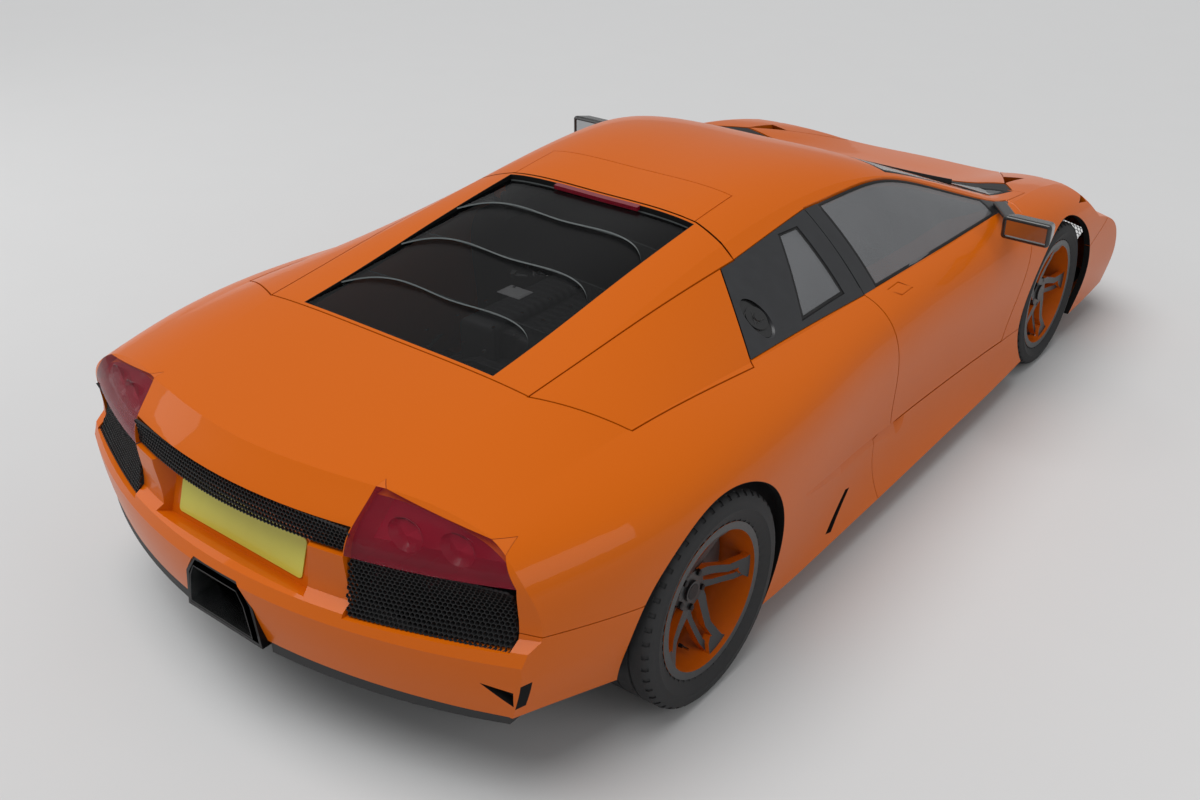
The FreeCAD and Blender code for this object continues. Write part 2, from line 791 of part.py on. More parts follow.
def scoop_line(y):
    """Height of the scoop's upper edge: the door's lower edge, and behind the door a line that climbs."""
    toe, heel = behind_axle(door_toe_back), y_door_hinge + door_rear_radius
    slope = (door_heel_height - door_toe_height) / (heel - toe)
    climb = scoop_rear_rise * max(0.0, (y - heel) / (y_rear_axle - heel))
    return door_toe_height + slope * (y - toe) + climb - shut_gap


def scoop():
    """A long groove with a slanting floor, cut into sill and rear wing."""
    sections = []
    for share, height_share, depth_share in scoop_share_points:
        y = behind_axle(share * wheelbase)
        z_high = scoop_line(y)
        z_low = z_high - height_share * scoop_height
        points = [(skin_side(y, z_low), z_low), (x_far, z_low), (x_far, z_high),
                  (skin_side(y, z_high) - depth_share * scoop_depth, z_high)]
        sections.append(wire(points, lambda x, z: at(x, y, z)))
    return Part.makeLoft(sections, True, True)


def side_sills():
    left = skin_half().common(sill_zone(0.0)).cut([door_room(shut_gap), floor_band(seam_gap), scoop()])
    left = biggest(left)
    return pair(left)


# Headlamp, seen from above.
head_lamp_rear_ahead = 420.0
head_lamp_nose_ahead = 760.0
head_lamp_inner_half = 560.0
head_lamp_outer_half = 800.0


def head_lamp_zone(grow):
    rear = y_front_axle - head_lamp_rear_ahead + grow
    nose = y_front_axle - head_lamp_nose_ahead - grow
    inner = head_lamp_inner_half - grow
    outer = head_lamp_outer_half + grow
    middle = (head_lamp_inner_half + head_lamp_outer_half) / 2
    return top_prism([(inner, nose), (middle, nose), (outer, (nose + rear) / 2), (outer, rear), (middle, rear)],
                     bumper_seam_low)


def head_lamps():
    left = biggest(layer(glass_inset, skin).common(head_lamp_zone(0.0)).cut(bumper_zone(seam_gap)))
    return pair(left)


# Openings in the front bumper, seen from ahead.
intake_inner_half = 330.0
intake_outer_half = 790.0
intake_low = 190.0
intake_high = 335.0
intake_slope = 70.0
slot_half = 260.0
slot_low = 165.0
slot_high = 215.0


def intake_outline(grow):
    return [
        (intake_inner_half - grow, intake_low - grow),
        (intake_outer_half - intake_slope + grow, intake_low - grow),
        (intake_outer_half + grow, intake_high + grow),
        (intake_inner_half + intake_slope - grow, intake_high + grow),
    ]


def nose_openings(grow):
    ahead, rear = y_nose - overrun, y_front_axle - bonnet_nose_ahead + overrun
    left = end_prism(intake_outline(grow), ahead, rear)
    slot = box((-slot_half - grow, ahead, slot_low - grow), (slot_half + grow, rear, slot_high + grow))
    return [left, mirrored(left), slot]


def front_bumper():
    whole = layer(0.0, skin).common(bumper_zone(0.0)).cut([wheel_room(), mirrored(wheel_room())])
    whole = whole.cut([floor_band(seam_gap), bonnet_room(shut_gap)] + nose_openings(0.0))
    return biggest(whole)


# Rear end, seen from behind: half widths and heights.
lamp_inner_top = (456.0, 847.0)
lamp_outer_top = (812.0, 785.0)
lamp_outer_foot = (864.0, 692.0)
lamp_inner_foot = (434.0, 684.0)
grille_outer_foot = (864.0, 520.0)
grille_inner_foot = (440.0, 513.0)
strip_top_height = 758.0


def lamp_outline(grow):
    """The lamp reaches over the tail's edge on to the deck, so its top is cut by the deck itself."""
    return [
        (lamp_inner_foot[0] - grow, lamp_inner_foot[1] - grow),
        (lamp_outer_foot[0] + grow, lamp_outer_foot[1] - grow),
        (lamp_outer_top[0] + grow, lamp_outer_top[1] + grow),
        (lamp_inner_top[0] - grow, lamp_inner_top[1] + grow),
    ]


def side_grille_outline(grow):
    return [
        (grille_inner_foot[0] - grow, grille_inner_foot[1] - grow),
        (grille_outer_foot[0] + grow, grille_outer_foot[1] - grow),
        (lamp_outer_foot[0] + grow, lamp_outer_foot[1] - seat_gap),
        (lamp_inner_foot[0] - grow, lamp_inner_foot[1] - seat_gap),
    ]


def strip_outline(grow):
    foot = lamp_inner_foot
    slope = (lamp_inner_top[0] - foot[0]) / (lamp_inner_top[1] - foot[1])
    top_half = foot[0] + slope * (strip_top_height - foot[1]) - seam_gap
    half = [(foot[0] - seam_gap + grow, foot[1] - grow), (top_half + grow, strip_top_height + grow)]
    return half + [(-x, z) for x, z in reversed(half)]


def tail_block(points):
    return end_prism(points, y_tail_zone, y_tail + overrun)


def rear_bumper_zone(grow):
    """The bumper's side seam rises to the corner, and its middle part reaches up to the strip grille."""
    slope = (rear_seam_rear_height - rear_seam_front_height) / (rear_seam_rear_back - rear_seam_front_back)
    tail_height = rear_seam_rear_height + slope * (y_tail - behind_axle(rear_seam_rear_back))
    sides = side_prism([
        (y_rear_axle, 0.0),
        (y_rear_axle, rear_seam_front_height + grow),
        (behind_axle(rear_seam_front_back), rear_seam_front_height + grow),
        (y_tail + overrun, tail_height + grow),
        (y_tail + overrun, 0.0),
    ], -x_far, x_far)
    foot = lamp_inner_foot
    half = foot[0] - seam_gap
    middle = tail_block([(-half - grow, 0.0), (half + grow, 0.0), (half + grow, foot[1] - seam_gap + grow),
                         (-half - grow, foot[1] - seam_gap + grow)])
    return sides.fuse(middle)


# Number plate, leaning, in its recess.
plate_width = 520.0
plate_height = 111.0
plate_thickness = 3.0
plate_middle_back = 3464.0
plate_middle_height = 588.0
plate_lean = 17.7
recess_margin = 34.0
recess_flare = 55.0
recess_wall = 16.0


def plate_frame(shape):
    """From the plate's own frame, thickness along +Y and its outer face at zero, to its place on the tail."""
    shape.rotate(at(0, 0, 0), at(1, 0, 0), plate_lean)
    shape.translate(at(0, behind_axle(plate_middle_back), plate_middle_height))
    return shape


def number_plate():
    plate = box((-plate_width / 2, -plate_thickness, -plate_height / 2), (plate_width / 2, 0.0, plate_height / 2))
    return plate_frame(plate)


def recess_block(wall):
    """The pocket round the plate, wider at its mouth."""
    low, high = -plate_height / 2 - recess_margin / 2 - wall, plate_height / 2 + recess_margin + wall
    floor = -plate_thickness - seat_gap - wall
    near, far = plate_width / 2 + recess_margin + wall, plate_width / 2 + recess_margin + recess_flare + wall
    mouth = floor + 2 * recess_flare + wall
    points = [(-near, floor), (near, floor), (far, mouth), (-far, mouth)]
    face = Part.Face(wire(points, lambda x, y: at(x, y, low)))
    return plate_frame(face.extrude(at(0, 0, high - low)))


# Exhaust: one wide outlet in the middle.
outlet_top_half = 103.0
outlet_foot_half = 149.0
outlet_top_height = 486.0
outlet_foot_height = 318.0
outlet_wall = 12.0
outlet_depth = 190.0
outlet_inset = 8.0


def outlet_outline(grow):
    corner_z = outlet_top_height - (outlet_top_height - outlet_foot_height) / 3
    shoulder = outlet_top_half + (outlet_foot_half - outlet_top_half) / 3
    half = [(outlet_foot_half + grow, outlet_foot_height - grow), (shoulder + outlet_wall + grow, corner_z),
            (outlet_top_half - outlet_wall, outlet_top_height + grow)]
    return half + [(-x, z) for x, z in reversed(half)]


def exhaust_room(grow):
    return end_prism(outlet_outline(grow), y_tail - outlet_depth, y_tail + overrun)


# Triangular vent in the rear corner, seen from behind.
vent_points = [(795.0, 420.0), (872.0, 402.0), (866.0, 350.0)]


def rear_bumper():
    zone = rear_bumper_zone(0.0)
    rooms = [wheel_room(), mirrored(wheel_room()), floor_band(seam_gap)]
    whole = layer(0.0, skin).common(zone).cut(rooms)
    tub = hull(0.0).common(recess_block(recess_wall)).common(zone)
    vent = tail_block(vent_points)
    cuts = [recess_block(0.0), exhaust_room(outlet_wall + seat_gap), vent, mirrored(vent),
            tail_block(strip_outline(seat_gap))]
    for outline in (side_grille_outline(seat_gap), lamp_outline(seat_gap)):
        cuts += [tail_block(outline), mirrored(tail_block(outline))]
    return biggest(whole.fuse(tub).cut(cuts))


# Ledge under the front and side rims of each intake flap, which stops well ahead of its hinge.
ledge_width = 22.0
ledge_thickness = 7.0
ledge_rear_gap = 45.0


def flap_ledge():
    """The ledge that the closed left flap rests on, joined to the skin round it."""
    ring = top_prism(flap_outline(shut_gap + ledge_width), belt_height - overrun)
    ring = ring.cut(top_prism(flap_outline(-ledge_width), belt_height - overrun))
    (x_outer, y_outer), (x_inner, y_inner) = flap_outline(0.0)[2:]
    slope = (y_inner - y_outer) / (x_inner - x_outer)
    behind_hinge = top_prism([
        (0.0, y_inner - slope * x_inner - ledge_rear_gap),
        (x_far, y_inner + slope * (x_far - x_inner) - ledge_rear_gap),
        (x_far, y_tail), (0.0, y_tail),
    ], belt_height - overrun)
    shelf = layer(skin - ledge_thickness / 2, skin + ledge_thickness).common(ring)
    seat = layer(0.0, skin + seat_gap).common(top_prism(flap_outline(shut_gap), belt_height - overrun))
    outside = [door_room(shut_gap), wheel_room(), lid_room(shut_gap), behind_hinge,
               side_prism(quarter_outline(seam_gap), 0.0, x_far),
               top_prism(roof_outline(seam_gap), belt_height - overrun)]
    return biggest(shelf.cut([seat] + outside))


# Slash intake in front of the rear wheel, in the side view.
slash_points = [(1775.0, 238.0), (1806.0, 246.0), (1962.0, 160.0), (1925.0, 150.0)]


def rear_body():
    """Rear wings and the deck between them, with the air slots before the rear wheels."""
    y_jamb = behind_axle(door_toe_back)
    zone = box((0, y_jamb, 0), (x_far, y_tail + overrun, z_sky))
    left = skin_half().common(zone)
    slash = side_prism([(behind_axle(y), z) for y, z in slash_points], x_door_inner_share * half_width, x_far)
    cuts = [
        sill_zone(seam_gap), door_room(shut_gap), top_prism(roof_outline(seam_gap), belt_height - overrun),
        side_prism(quarter_outline(seam_gap), 0.0, x_far), top_prism(flap_outline(shut_gap), belt_height - overrun),
        lid_room(shut_gap), rear_bumper_zone(seam_gap), tail_block(lamp_outline(seat_gap)),
        tail_block(side_grille_outline(seat_gap)), tail_block(strip_outline(seat_gap)), floor_band(seam_gap), slash,
        box((0, y_jamb, 0), (x_far, behind_axle(sill_rear_back), sill_top_front)), scoop(),
    ]
    left = biggest(left.cut(cuts)).fuse(flap_ledge())
    return biggest(left.fuse(mirrored(left)))


def quarter_zone(grow):
    return side_prism(quarter_outline(grow), x_door_inner_share * half_width, x_far)


def quarter_panels():
    """Black panel with its small window and, on the right, the round oil filler's seat."""
    cuts = [door_room(shut_gap), top_prism(roof_outline(seam_gap), belt_height - overrun),
            top_prism(flap_outline(shut_gap), belt_height - overrun), lid_room(shut_gap),
            side_prism(quarter_glass_outline(seat_gap), 0.0, x_far)]
    left = biggest(skin_half().common(quarter_zone(0.0)).cut(cuts))
    right = biggest(mirrored(left).cut(cap_room(seat_gap)))
    return Part.makeCompound([left, right])


def quarter_glass():
    zone = side_prism(quarter_glass_outline(0.0), x_door_inner_share * half_width, x_far)
    left = biggest(layer(glass_inset, glass_inset + glass_thickness).common(zone))
    return pair(left)


def intake_flap():
    return biggest(skin_half().common(top_prism(flap_outline(0.0), belt_height - overrun)))


def tail_lamps():
    left = biggest(layer(0.0, skin).common(tail_block(lamp_outline(0.0))))
    return pair(left)


def inside(point, points, margin):
    """Whether a point lies inside a convex outline by a margin."""
    turn = 0
    for a, b in zip(points, points[1:] + points[:1]):
        cross = (b[0] - a[0]) * (point[1] - a[1]) - (b[1] - a[1]) * (point[0] - a[0])
        distance = cross / math.dist(a, b)
        if abs(distance) < margin or turn * distance < 0:
            return False
        turn = distance
    return True


mesh_pitch = 38.0
mesh_bar = 5.0
mesh_depth = 10.0
mesh_inset = 8.0


def honeycomb(points, y_low, y_high):
    """Six-sided cells side by side over an outline seen along the car."""
    cells = []
    row_step = mesh_pitch * math.sin(math.pi / 3)
    radius = (mesh_pitch - mesh_bar) / math.sqrt(3)
    xs, zs = [p[0] for p in points], [p[1] for p in points]
    rows = range(math.ceil((max(zs) - min(zs)) / row_step))
    for row in rows:
        z = min(zs) + (row + 0.5) * row_step
        for column in range(math.ceil((max(xs) - min(xs)) / mesh_pitch) + 1):
            x = min(xs) + (column + 0.5 * (row % 2)) * mesh_pitch
            if inside((x, z), points, mesh_pitch / 2 + mesh_bar / 2):
                turns = [k * math.pi / 3 for k in range(6)]
                corners = [(x + radius * math.sin(turn), z + radius * math.cos(turn)) for turn in turns]
                cells.append(end_prism(corners, y_low, y_high))
    return cells


def mesh_panel(points, y_low, y_high):
    plate = layer(mesh_inset, mesh_inset + mesh_depth).common(end_prism(points, y_low, y_high))
    return biggest(biggest(plate).cut(honeycomb(points, y_low, y_high)))


def tail_grilles():
    y_high = y_tail + overrun
    side = mesh_panel(side_grille_outline(0.0), y_tail_zone, y_high)
    strip = mesh_panel(strip_outline(0.0), y_tail_zone, y_high)
    return Part.makeCompound([side, mirrored(side), strip])


def nose_grilles():
    y_low, y_high = y_nose - overrun, y_front_axle - bonnet_nose_ahead + overrun
    side = mesh_panel(intake_outline(-seat_gap), y_low, y_high)
    return Part.makeCompound([side, mirrored(side)])


# Black lips under the rear bumper, either side of the outlet.
lip_height = 34.0
lip_depth = 70.0
lip_inner_half = 168.0
lip_outer_half = 850.0
lip_inset = 26.0


def tail_edge(x, inset):
    return y_tail - inset - tail_bow * (x / half_width) ** 2


def bow_band(inner_half, outer_half, inset, depth, z_low, z_high):
    """A band that follows the tail's bow, as seen from above."""
    middle = (inner_half + outer_half) / 2
    rear = [(x, tail_edge(x, inset)) for x in (inner_half, middle, outer_half)]
    front = [(x, y - depth) for x, y in rear]
    points = [rear[0], (rear[1], rear[2]), front[2], (front[1], front[0])]
    return top_prism(points, z_low, z_high)


def undertray():
    rooms = [wheel_room(), mirrored(wheel_room()), exhaust_room(outlet_wall + seat_gap)]
    return biggest(layer(0.0, skin).common(floor_band(0.0)).cut(rooms))


def rear_lips():
    """Two carbon lips under the bumper."""
    low = outlet_foot_height - lip_height
    band = bow_band(lip_inner_half, lip_outer_half, lip_inset, lip_depth, low, outlet_foot_height + lip_height)
    left = biggest(band.cut([hull(0.0), tail_block(vent_points)]))
    return pair(left)


# Engine lid: painted strips, a frame round the panes, and hinges under its front edge.
pane_first_back = 2115.0
pane_pitch = 261.0
pane_count = 4
pane_thickness = 5.0
pane_step = 17.0
pane_overlap = 24.0
pane_straight_half = 265.0
pane_sweep = 85.0
pane_sweep_share = 0.3
lid_lug_half = 410.0
lid_lug_width = 30.0
hinge_pin_r = 8.0
hinge_lug_r = 14.0
hinge_ear = 12.0
stop_lamp_half = 176.0
stop_lamp_depth = 20.0
stop_lamp_setback = 7.0


def hinge_lug(y, z, x_middle, width, zone):
    """A bored lug with its web, which runs up into the panel it carries."""
    low, high = x_middle - width / 2, x_middle + width / 2
    boss = Part.makeCylinder(hinge_lug_r, width, at(low, y, z), at(1, 0, 0))
    web = box((low, y - hinge_lug_r, z), (high, y + hinge_lug_r, z_sky)).common(hull(skin / 2)).common(zone)
    bore = Part.makeCylinder(hinge_pin_r + pin_gap, width, at(low, y, z), at(1, 0, 0))
    return boss.fuse(web).cut(bore)


def hinge_post(y, z, x_middle, width, foot_z):
    """The fixed side of a hinge: a pin between two ears that stand on a beam."""
    low, high = x_middle - width / 2 - seat_gap, x_middle + width / 2 + seat_gap
    parts = [Part.makeCylinder(hinge_pin_r, high - low + 2 * hinge_ear, at(low - hinge_ear, y, z), at(1, 0, 0))]
    for x in (low - hinge_ear, high):
        parts.append(Part.makeCylinder(hinge_lug_r, hinge_ear, at(x, y, z), at(1, 0, 0)))
        parts.append(box((x, y - hinge_lug_r, foot_z), (x + hinge_ear, y + hinge_lug_r, z)))
    return parts


def lid_window():
    front, rear = behind_axle(lid_glass_front_back), behind_axle(lid_glass_rear_back)
    return box((-lid_glass_half, front, belt_height - overrun), (lid_glass_half, rear, z_sky))


def stop_lamp_room(grow):
    front = behind_axle(lid_front_back) + stop_lamp_setback - grow
    low = (-stop_lamp_half - grow, front, belt_height)
    high = (stop_lamp_half + grow, front + stop_lamp_depth + grow, z_sky)
    return layer(0.0, skin / 2 + grow).common(box(low, high))


def stop_lamp():
    return biggest(stop_lamp_room(0.0))


def lid_panel():
    """Strips and frame of the engine lid, with its hinge lugs."""
    zone = lid_zone(0.0)
    y, z = behind_axle(lid_hinge_back), lid_hinge_height
    frame = layer(0.0, skin).common(zone)
    lugs = [hinge_lug(y, z, sign * lid_lug_half, lid_lug_width, zone) for sign in (-1, 1)]
    return biggest(biggest(frame.cut([lid_window(), stop_lamp_room(seat_gap)])).fuse(lugs))


def pane_edge(y, drop, sweep):
    """A pane's edge across the lid, below the skin by the drop, its ends swept back."""
    half = lid_glass_half - seat_gap
    left = [(half, sweep), ((half + pane_straight_half) / 2, pane_sweep_share * sweep), (pane_straight_half, 0.0)]
    stations = left + [(0.0, 0.0)] + [(-x, reach) for x, reach in reversed(left)]
    points = [at(x, y + reach, skin_height(x, y + reach) - drop) for x, reach in stations]
    return fitted(points, [(half - x) / (2 * half) for x, reach in stations]).toShape()


def lid_panes():
    """Glass slats one behind the other, each with its rear edge over the next one's front edge."""
    panes = []
    front = behind_axle(lid_glass_front_back) + seat_gap
    for k in range(pane_count):
        last = k == pane_count - 1
        rear = behind_axle(lid_glass_rear_back) - seat_gap if last else behind_axle(pane_first_back + k * pane_pitch)
        edges = [pane_edge(front, pane_step, 0.0), pane_edge(rear, glass_inset, 0.0 if last else pane_sweep)]
        pane = Part.makeRuledSurface(*edges).extrude(at(0, 0, -pane_thickness))
        panes.append(biggest(pane.cut(stop_lamp_room(seat_gap))))
        front = rear - pane_overlap
    return Part.makeCompound(panes)


# Doors: one thick shell each up to the belt, a frameless pane above it, and a black cover on the rear pillar.
belt_front_height = 778.0
belt_rear_height = 804.0
pillar_cover_width = 62.0
pillar_cover_foot_width = 86.0
pillar_cover_thickness = 12.0
sail_back = 470.0
sail_height = 868.0
hinge_arm_half = 800.0
hinge_arm_width = 26.0
hinge_arm_depth = 24.0
hinge_arm_angle = -47.0
door_pin_r = 10.0
door_lug_r = 20.0


def under_belt(grow):
    """Side view of all that lies under the windows."""
    slope = (belt_rear_height - belt_front_height) / (door_top_back - door_hinge_back)
    front, rear = behind_axle(0.0), behind_axle(door_top_back)
    z_front = belt_front_height - slope * door_hinge_back + grow
    z_rear = belt_rear_height + grow
    return side_prism([(front, 0.0), (front, z_front), (rear, z_rear), (rear, 0.0)], 0.0, x_far)


def door_front_angle():
    """The angle about the hinge at which the door's straight front edge leaves its arc."""
    run = (door_toe_back - door_hinge_back, door_toe_height - door_hinge_height)
    return math.atan2(run[1], run[0]) + math.acos(door_front_radius / math.hypot(*run))


def door_hinge_arm():
    """From the hinge under the wing back and down to a stub in the door's front end."""
    x_low, x_high = hinge_arm_half - hinge_arm_width / 2, hinge_arm_half + hinge_arm_width / 2
    angle = math.radians(hinge_arm_angle)
    hinge = (y_door_hinge, door_hinge_height)
    reach = door_front_radius / math.cos(door_front_angle() - angle) + hinge_arm_depth + shut_gap
    end = angle_point(hinge, reach, angle)
    side = angle_point((0.0, 0.0), hinge_arm_depth / 2, angle + math.pi / 2)
    corners = [(hinge[0] - side[0], hinge[1] - side[1]), (end[0] - side[0], end[1] - side[1]),
               (end[0] + side[0], end[1] + side[1]), (hinge[0] + side[0], hinge[1] + side[1])]
    bar = side_prism(corners, x_low, x_high)
    boss = Part.makeCylinder(door_lug_r, hinge_arm_width, at(x_low, *hinge), at(1, 0, 0))
    stub = rod(hinge_arm_depth, at(x_low, *end), at(x_far, *end)).common(hull(skin))
    bore = Part.makeCylinder(door_pin_r + pin_gap, hinge_arm_width, at(x_low, *hinge), at(1, 0, 0))
    return bar.fuse([boss, stub]).cut(bore)


def door_pin():
    """Pin and ears on the frame for the left door."""
    low = hinge_arm_half - hinge_arm_width / 2 - seat_gap
    high = low + hinge_arm_width + 2 * seat_gap
    place = (y_door_hinge, door_hinge_height)
    pin = Part.makeCylinder(door_pin_r, high - low + 2 * hinge_ear, at(low - hinge_ear, *place), at(1, 0, 0))
    ears = [Part.makeCylinder(door_lug_r, hinge_ear, at(x, *place), at(1, 0, 0)) for x in (low - hinge_ear, high)]
    return [pin] + ears


# Handle: a flap that lies in the door's skin right under the window, seen from above.
handle_front_back = 1277.0
handle_length = 125.0
handle_width = 25.0
handle_skew = 40.0
handle_belt_gap = 12.0


def handle_outline(grow):
    """A leaning four-sided outline in the side view."""
    front = behind_axle(handle_front_back) - grow
    rear = front + handle_length + 2 * grow
    high = belt_rear_height - handle_belt_gap + grow
    low = high - handle_width - 2 * grow
    return [(front, low), (front + handle_skew, high), (rear, high), (rear - handle_skew, low)]


def handle_groove():
    ring = side_prism(handle_outline(0.0), 0.0, x_far).cut(side_prism(handle_outline(-groove_width), 0.0, x_far))
    return ring.cut(hull(groove_depth))


def door():
    """The left door, hung at its front end so that it swings up."""
    body = layer(0.0, door_thickness).common(door_room(0.0, shut_gap)).common(under_belt(0.0))
    return biggest(biggest(body).fuse(door_hinge_arm()).cut(handle_groove()))


def above_belt(thickness_from, thickness_to, grow):
    """A window layer in the left door's opening."""
    pane = layer(thickness_from, thickness_to).common(door_room(0.0, shut_gap))
    return biggest(pane.cut(under_belt(grow)))


def pillar_cover_zone(grow):
    rear_foot = y_door_hinge + door_rear_radius
    rear_top = behind_axle(door_top_back)
    return side_prism([
        (rear_foot - pillar_cover_foot_width - grow, belt_front_height - overrun),
        (rear_top - pillar_cover_width - grow, z_sky),
        (rear_top + overrun, z_sky),
        (rear_foot + overrun, belt_front_height - overrun),
    ], 0.0, x_far)


def sail_zone(grow):
    """The black triangle at the foot of the pillar that carries the mirror."""
    return side_prism([
        (y_front_axle, belt_front_height - overrun),
        (behind_axle(sail_back) + grow, belt_front_height - overrun),
        (behind_axle(sail_back) + grow, belt_front_height),
        (behind_axle(door_hinge_back) + sail_back / 2 + grow, sail_height + grow),
        (behind_axle(door_hinge_back), sail_height + overrun),
        (y_front_axle, sail_height + overrun),
    ], 0.0, x_far)


def door_glass():
    pane = above_belt(glass_inset, glass_inset + glass_thickness, seat_gap)
    return biggest(pane.cut([pillar_cover_zone(seat_gap), sail_zone(seat_gap)]))


def window_trim():
    """Black covers at both ends of the door glass."""
    band = above_belt(glass_inset / 2, pillar_cover_thickness, seat_gap)
    rear = biggest(band.common(pillar_cover_zone(0.0)))
    front = biggest(band.common(sail_zone(0.0)))
    return Part.makeCompound([rear, front])


# Mirror: a tapered housing on an arm that grows out of the sail.
mirror_back = 705.0
mirror_inner_half = 925.0
mirror_outer_half = 1120.0
mirror_low = 782.0
mirror_high = 880.0
mirror_depth = 105.0
mirror_rim = 8.0
mirror_glass_thickness = 4.0
mirror_arm_height = 34.0
mirror_foot_back = 380.0
mirror_foot_half = 800.0
mirror_foot_height = 806.0


def mirror_face(grow):
    """Outline of the housing's open end, seen from behind."""
    return [
        (mirror_inner_half - grow, mirror_low + mirror_rim - grow),
        (mirror_outer_half - 2 * mirror_rim, mirror_low - grow),
        (mirror_outer_half + grow, mirror_low + 2 * mirror_rim),
        (mirror_outer_half - mirror_rim + grow, mirror_high - 2 * mirror_rim),
        (mirror_outer_half - 3 * mirror_rim, mirror_high - mirror_rim + grow),
        (mirror_inner_half - grow, mirror_high + grow),
    ]


def outline_at(points, y, centre, scale):
    moved = [(centre[0] + scale * (x - centre[0]), centre[1] + scale * (z - centre[1])) for x, z in points]
    return wire(moved, lambda x, z: at(x, y, z))


mirror_nose_share = 0.55
mirror_waist_share = 0.92


def mirror():
    """Housing, hollow at its rear, with its arm."""
    centre = ((mirror_inner_half + mirror_outer_half) / 2, (mirror_low + mirror_high) / 2)
    rear = behind_axle(mirror_back)
    outside = Part.makeLoft([
        outline_at(mirror_face(0.0), rear, centre, 1),
        outline_at(mirror_face(0.0), rear - mirror_depth / 2, centre, mirror_waist_share),
        outline_at(mirror_face(0.0), rear - mirror_depth, centre, mirror_nose_share),
    ], True, True)
    pocket = end_prism(mirror_face(-mirror_rim), rear - mirror_rim, rear + overrun)
    foot = at(mirror_foot_half, behind_axle(mirror_foot_back), mirror_foot_height)
    tip = at(mirror_inner_half + mirror_rim, rear - mirror_depth / 2, centre[1] + mirror_rim)
    arm = rod(mirror_arm_height / 2, foot, tip)
    carved = outside.cut(pocket)
    housing = biggest(carved.fuse(arm.cut(hull(glass_inset / 2 - seat_gap))))
    bed = rear - mirror_rim + seat_gap
    glass = end_prism(mirror_face(-mirror_rim - seat_gap), bed, bed + mirror_glass_thickness)
    return Part.makeCompound([housing, glass])


# Tub and frame. Everything that meets the skin from inside follows it at a seat gap.
tub_half = 700.0
tub_floor_top = 170.0
tub_wall = 20.0
firewall_back = 365.0
firewall_thickness = 30.0
bulkhead_back = 1552.0
bulkhead_thickness = 30.0
tunnel_half = 120.0
tunnel_height = 330.0
sill_beam_inner = 660.0
sill_beam_outer = 900.0
sill_beam_height = 270.0
beam_height = 90.0
front_half = 400.0
front_rail_width = 60.0
front_rail_low = 150.0
front_box_depth = 360.0
front_box_top = 480.0
front_beam_ahead = 905.0
front_beam_half = 640.0
front_beam_low = 240.0
rear_rail_half = 330.0
rear_rail_width = 60.0
rear_rail_low = 370.0
rear_beam_back = 3430.0
rear_beam_inner = 190.0
rear_beam_half = 700.0
cowl_beam_back = 40.0
cowl_beam_depth = 60.0
hinge_rail_low = 662.0
hinge_rail_width = 60.0
trunk_front_ahead = 760.0
lid_rail_width = 80.0
lid_rail_low = 925.0
lid_rail_height = 45.0


def beam(low, high):
    """A frame member that ends against the inside of the skin."""
    return box(low, high).common(hull(skin + seat_gap))


def both_sides(x_inner, x_outer, y_low, y_high, z_low, z_high):
    """A beam on each side of the car."""
    return [beam((x_inner, y_low, z_low), (x_outer, y_high, z_high)),
            beam((-x_outer, y_low, z_low), (-x_inner, y_high, z_high))]


def tub():
    """Cabin floor, tunnel, sill beams and the bulkheads before and behind the seats."""
    y_fire, y_bulk = behind_axle(firewall_back), behind_axle(bulkhead_back)
    y_cowl = behind_axle(cowl_beam_back)
    rail_outer = hinge_arm_half - hinge_arm_width / 2 - seat_gap - hinge_ear
    return [
        beam((-tub_half, y_fire, 0), (tub_half, y_bulk, tub_floor_top)),
        beam((-tunnel_half, y_fire, 0), (tunnel_half, y_bulk, tunnel_height)),
        beam((-tub_half, y_fire, 0), (tub_half, y_fire + firewall_thickness, hinge_rail_low)),
        beam((-x_far, y_bulk, 0), (x_far, y_bulk + bulkhead_thickness, z_sky)),
        *both_sides(sill_beam_inner, sill_beam_outer, y_fire, y_bulk, 0, sill_beam_height),
        *[rail.cut([door_room(shut_gap), mirrored(door_room(shut_gap))])
          for rail in both_sides(tub_half - hinge_rail_width, rail_outer, y_door_hinge - door_lug_r - hinge_ear,
                                 y_fire + firewall_thickness, hinge_rail_low, z_sky)],
        beam((-tub_half, y_cowl, hinge_rail_low), (tub_half, y_cowl + cowl_beam_depth, z_sky)),
        beam((-tub_half, y_cowl, hinge_rail_low), (tub_half, y_fire + firewall_thickness, hinge_rail_low + tub_wall)),
    ]


def front_frame():
    """Rails, the box between the front wheels, the crash beam and the bonnet's hinge posts."""
    y_fire = behind_axle(firewall_back)
    y_beam = y_front_axle - front_beam_ahead
    y_hinge = y_front_axle - bonnet_hinge_ahead
    members = both_sides(front_half - front_rail_width, front_half, y_beam, y_fire, front_rail_low,
                         front_rail_low + beam_height)
    members += [
        beam((-front_half, y_front_axle - front_box_depth / 2, front_rail_low),
             (front_half, y_front_axle + front_box_depth / 2, front_box_top)),
        beam((-front_half, y_front_axle - trunk_front_ahead, front_rail_low),
             (front_half, y_front_axle - front_box_depth / 2, front_box_top)),
        beam((-front_beam_half, y_beam, front_beam_low),
             (front_beam_half, y_beam + front_rail_width, front_beam_low + beam_height)),
    ]
    for sign in (-1, 1):
        members += hinge_post(y_hinge, bonnet_hinge_height, sign * bonnet_lug_half, bonnet_lug_width,
                              front_box_top - tub_wall)
    return members


def luggage_room():
    """The inside of the front luggage tub."""
    half = front_half - tub_wall
    front = y_front_axle - trunk_front_ahead + tub_wall
    rear = y_front_axle - front_box_depth / 2 - tub_wall
    return box((-half, front, front_rail_low + tub_wall), (half, rear, z_sky))


